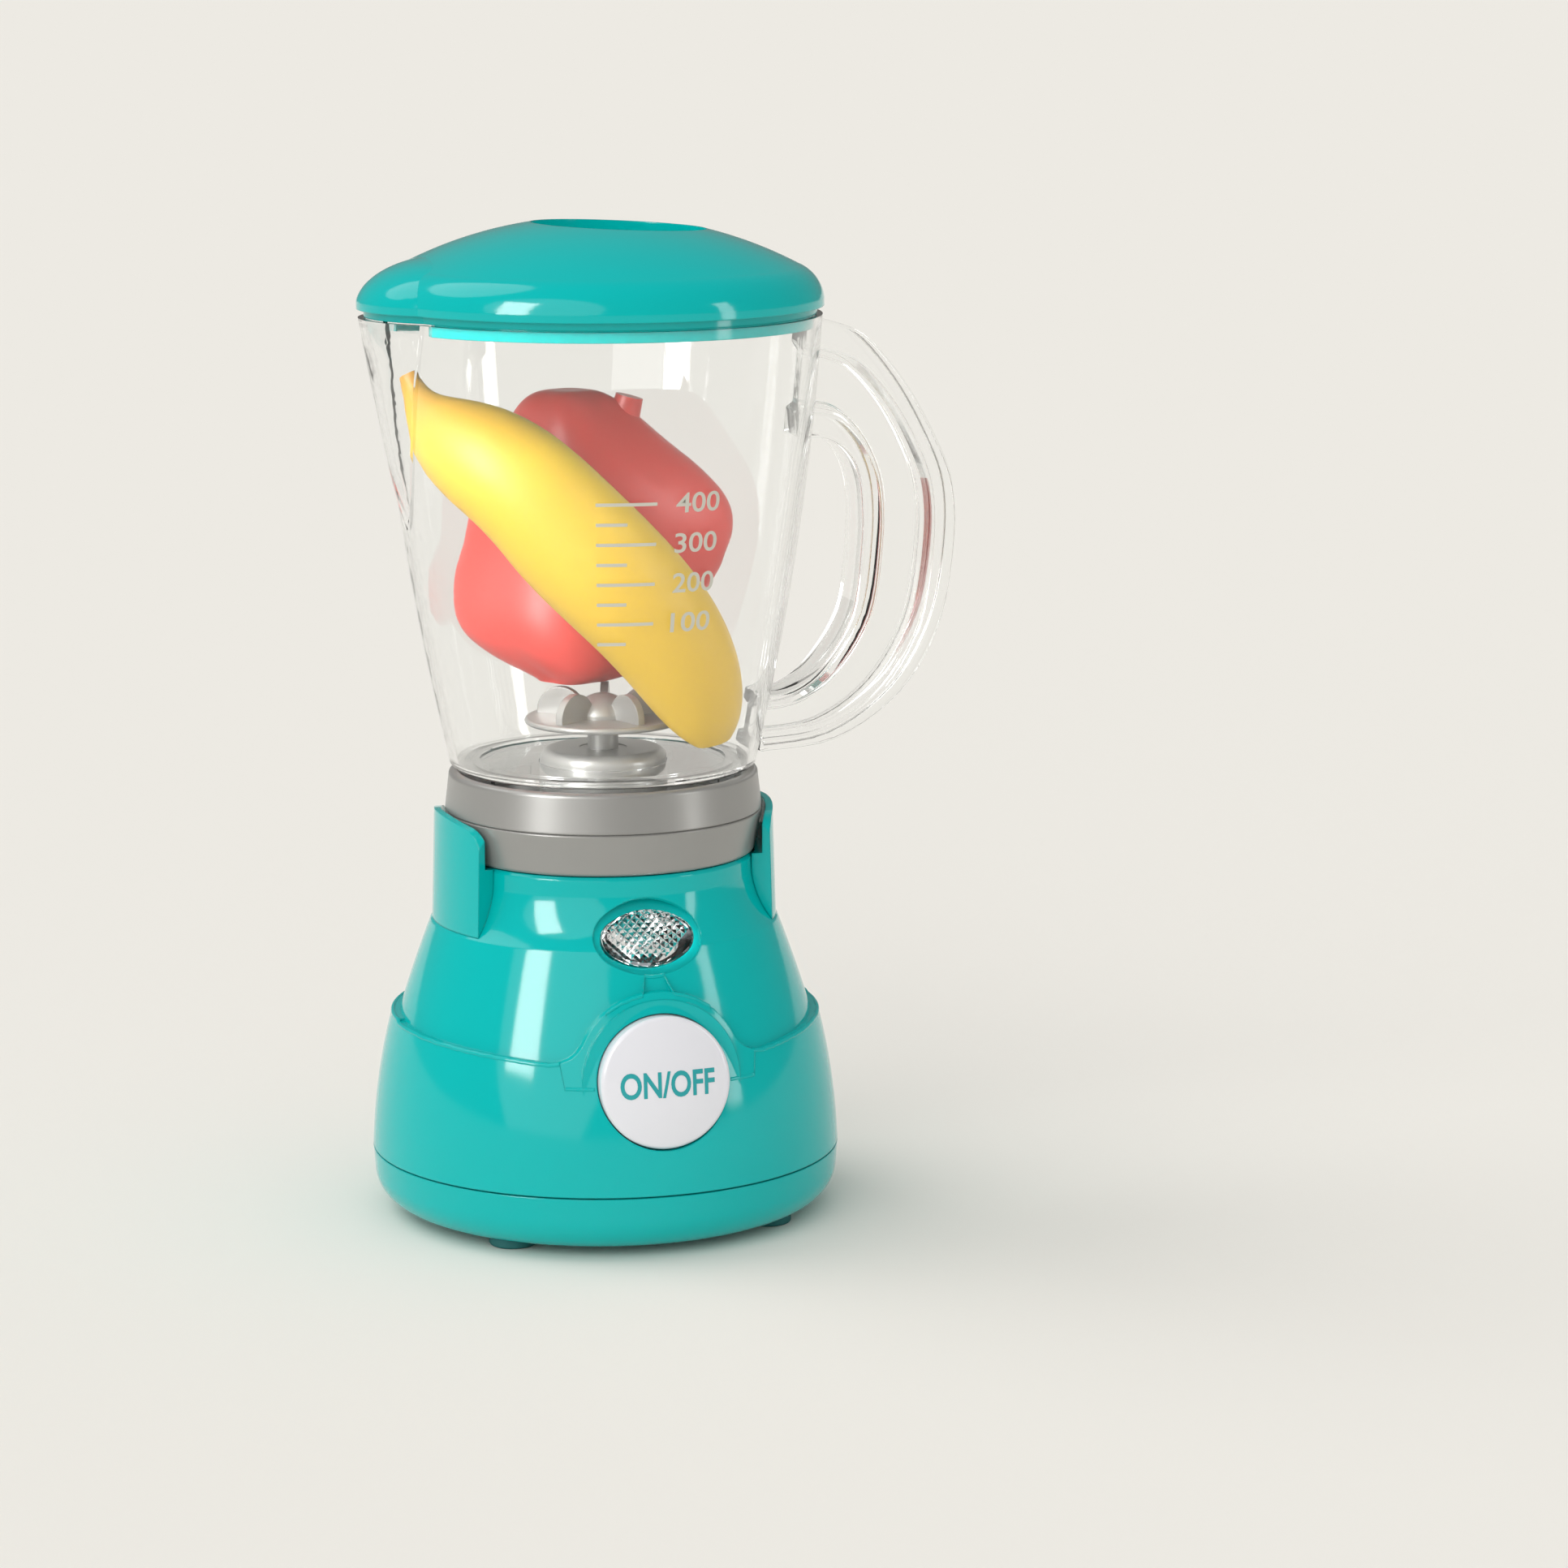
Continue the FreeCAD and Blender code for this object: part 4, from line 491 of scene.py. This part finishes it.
def lettering(text, wide, tall, weight):
    """Flat letters in the middle of the plane, fitted to a width and height in mm."""
    curve = bpy.data.curves.new("letters", "FONT")
    curve.body = text
    curve.resolution_u = 5
    curve.offset = weight
    item = bpy.data.objects.new("letters", curve)
    scene.collection.objects.link(item)
    bpy.context.view_layer.update()
    mesh = bpy.data.meshes.new_from_object(item.evaluated_get(bpy.context.evaluated_depsgraph_get()))
    bpy.data.objects.remove(item)
    bpy.data.curves.remove(curve)
    form = bmesh.new()
    form.from_mesh(mesh)
    bpy.data.meshes.remove(mesh)
    across = [vert.co.x for vert in form.verts]
    up = [vert.co.y for vert in form.verts]
    bmesh.ops.translate(form, verts=form.verts,
                        vec=(-(min(across) + max(across)) / 2, -(min(up) + max(up)) / 2, 0))
    bmesh.ops.scale(form, verts=form.verts, vec=(wide * MM / (max(across) - min(across)),
                                                 tall * MM / (max(up) - min(up)), 1))
    bmesh.ops.triangulate(form, faces=form.faces[:])
    for _ in range(2):
        long_edges = [edge for edge in form.edges if edge.calc_length() > 0.9 * MM]
        bmesh.ops.subdivide_edges(form, edges=long_edges, cuts=1)
        bmesh.ops.triangulate(form, faces=form.faces[:])
    return form


def press_on(form, shell, way, lift):
    """Each point goes onto the shell along a direction, and stands off it by the lift."""
    for vert in form.verts:
        hit = shell.ray_cast(vert.co - way * 40 * MM, way)[0]
        if hit is not None:
            vert.co = hit - way * lift * MM


dress(white, "button_cap", "led")
dress(plated, "lamp_reflector")
letters = lettering("ON/OFF", 24.2, 6.6, 0.022)
letters.transform(facing(BUTTON_HEIGHT, BUTTON_REACH, BUTTON_TILT))
way = Vector((0, cos(BUTTON_TILT), -sin(BUTTON_TILT)))
press_on(letters, shell_of("button_cap"), way, INK_LIFT)
print_teal = surface("print_teal", (0.01, 0.36, 0.38), 0.3, grain=0.01)
piece(letters, "button_print", "button", "teal_plastic", print_teal)

prisms = bmesh.new()
bmesh.ops.create_grid(prisms, x_segments=PRISM_COUNT, y_segments=PRISM_COUNT,
                      size=PRISM_COUNT / 2 * PRISM_PITCH * MM,
                      matrix=Matrix.Diagonal((0.72, 0.72, 1, 1)) @ Matrix.Rotation(pi / 4, 4, "Z"))


def outside_lamp(face):
    """Whether a face lies past the oval of the lamp."""
    middle = face.calc_center_median() / MM
    return (middle.x / PRISM_HALF_WIDTH) ** 2 + (middle.y / PRISM_HALF_HEIGHT) ** 2 > 1


outside = [face for face in prisms.faces if outside_lamp(face)]
bmesh.ops.delete(prisms, geom=outside, context="FACES")
bmesh.ops.poke(prisms, faces=prisms.faces[:], offset=PRISM_HEIGHT * MM, center_mode="MEAN")
prisms.transform(facing(LAMP_HEIGHT, LAMP_REACH - PRISM_DEPTH, LAMP_TILT))
piece(prisms, "lamp_prisms", "base", "reflector", plated, sharp=5)

# Collar, blade seat and blade: satin silver-grey plastic. The two rings are moulded in one
# tool and pushed over each other, the seat carries the bush, and the finned blade is pressed
# on its shaft.
SILVER = (0.335, 0.330, 0.315)
silver = surface("satin_silver", SILVER, 0.30, deep=0.9, spread=0.08, grain=0.03, metallic=0.35, scale=140,
                 edge=0.4)
dress(silver, "collar_lower", "collar_upper", "blade_seat", "shaft_bush", "blade_shaft", "blade")

# Jug and handle: clear styrene, 1.8 mm in the wall, with a pouring spout. The handle is an
# I-section band welded on at both roots. The scale is printed in pale grey.
SCALE_TURN = radians(3.5)
SCALE_MARKS = (("400", 188), ("300", 178), ("200", 168), ("100", 158))
SCALE_RADIUS = 48
TICK_LEFT = -17
TICK_HALF_HEIGHT = 0.42


def clear(name, tint, rough, ior):
    """Clear plastic that lets most light through to what stands behind it."""
    material = surface(name, tint, rough, deep=0.99, mottle=0.2, spread=0.02, grain=0.0)
    nodes, links = material.node_tree.nodes, material.node_tree.links
    shader = nodes["Principled BSDF"]
    for link in list(shader.inputs["Normal"].links):
        links.remove(link)
    shader.inputs["Transmission Weight"].default_value = 1
    shader.inputs["IOR"].default_value = ior
    path = nodes.new("ShaderNodeLightPath")
    see_through = nodes.new("ShaderNodeBsdfTransparent")
    see_through.inputs["Color"].default_value = (0.93, 0.94, 0.94, 1)
    mix = nodes.new("ShaderNodeMixShader")
    links.new(path.outputs["Is Shadow Ray"], mix.inputs["Fac"])
    links.new(shader.outputs[0], mix.inputs[1])
    links.new(see_through.outputs[0], mix.inputs[2])
    links.new(mix.outputs[0], nodes["Material Output"].inputs["Surface"])
    return material


def smooth_path(points, steps):
    """A smooth curve through some points of any size."""
    path = []
    for at in range(len(points) - 1):
        a, b, c, d = [Vector(points[max(0, min(len(points) - 1, at + shift))]) for shift in (-1, 0, 1, 2)]
        for step in range(steps):
            t = step / steps
            path.append((2 * b + (c - a) * t + (2 * a - 5 * b + 4 * c - d) * t * t
                         + (3 * b - a - 3 * c + d) * t * t * t) / 2)
    path.append(Vector(points[-1]))
    return path


styrene = clear("clear_styrene", (0.985, 0.99, 0.988), 0.01, 1.5)
lens = clear("clear_lens", (0.99, 0.99, 0.99), 0.01, 1.45)
dress(styrene, "jug")
dress(lens, "lamp_lens")

band = smooth_path([
    (52.4, 197.3, 55.2, 228.2), (58.0, 197.0, 67.5, 223.6), (62.8, 193.8, 78.5, 211.5),
    (65.8, 188.5, 87.0, 197.0), (67.0, 181.5, 92.0, 184.0), (67.0, 170.0, 92.4, 168.0),
    (64.4, 151.5, 88.5, 148.0), (56.0, 138.0, 78.0, 130.8), (48.2, 132.6, 60.5, 119.4),
    (42.0, 131.6, 39.6, 117.0),
], 5)
SECTION = ((0, 7.4), (0.22, 7.4), (0.28, 2.6), (0.70, 2.6), (0.76, 7.4), (1, 7.4),
           (1, -7.4), (0.76, -7.4), (0.70, -2.6), (0.28, -2.6), (0.22, -7.4), (0, -7.4))
handle = bmesh.new()
rings = []
for row in band:
    inner, outer = Vector((row[0], 0, row[1])), Vector((row[2], 0, row[3]))
    ring = []
    for share, side in SECTION:
        ring.append(handle.verts.new((inner.lerp(outer, share) + Vector((0, side, 0))) * MM))
    rings.append([handle.edges.new(pair) for pair in zip(ring, ring[1:] + ring[:1])])
for ring, following in zip(rings, rings[1:]):
    bmesh.ops.bridge_loops(handle, edges=ring + following)
for ring in (rings[0], rings[-1]):
    bmesh.ops.contextual_create(handle, geom=ring)
grip = piece(handle, "handle_band", "jug", "clear_plastic", styrene, "jug_handle")
softened = grip.modifiers.new("softened", "BEVEL")
softened.width = 0.9 * MM
softened.segments = 3
softened.limit_method = "ANGLE"
softened.angle_limit = radians(40)


def wrap_on_jug(form, shell):
    """A flat form, across and up in mm, goes round the outside of the jug's wall."""
    for vert in form.verts:
        turn = -pi / 2 + SCALE_TURN + vert.co.x / (SCALE_RADIUS * MM)
        outward = Vector((cos(turn), sin(turn), 0))
        start = outward * 80 * MM + Vector((0, 0, vert.co.y))
        hit = shell.ray_cast(start, -outward)[0]
        vert.co = hit + outward * INK_LIFT * MM


marks = []
for text, height in SCALE_MARKS:
    number = lettering(text, 11, 5, 0.012)
    bmesh.ops.translate(number, verts=number.verts, vec=(7 * MM, height * MM, 0))
    marks.append(number)
    for drop, reach in ((0, 7.0), (5, 3.6)):
        tick = bmesh.new()
        bmesh.ops.create_grid(tick, x_segments=10, y_segments=1, size=1)
        bmesh.ops.scale(tick, verts=tick.verts, vec=(reach * MM, TICK_HALF_HEIGHT * MM, 1))
        bmesh.ops.translate(tick, verts=tick.verts, vec=((reach + TICK_LEFT) * MM, (height - drop) * MM, 0))
        marks.append(tick)
scale = joined(marks)
wrap_on_jug(scale, shell_of("jug"))
pale_ink = surface("pale_ink", (0.60, 0.58, 0.50), 0.5, grain=0.01)
piece(scale, "jug_scale", "jug", "white_plastic", pale_ink)

# Lid and play food: the lid is the same gloss teal; the banana and pepper are blow-moulded
# in soft vinyl, the banana with a darker sprayed stem.
STEM_LOW = 198
STEM_TOP = 222
yellow = surface("banana_vinyl", (0.76, 0.49, 0.045), 0.40, deep=0.9, mottle=0.5, scale=60, grain=0.03,
                 specular=0.35)
shaded(yellow, 2, STEM_LOW, STEM_TOP, (0.50, 0.20, 0.03))
red = surface("pepper_vinyl", (0.70, 0.070, 0.055), 0.34, deep=0.85, mottle=0.4, scale=50, grain=0.02,
              specular=0.4)
dress(teal, "lid")
dress(yellow, "banana")
dress(red, "pepper")
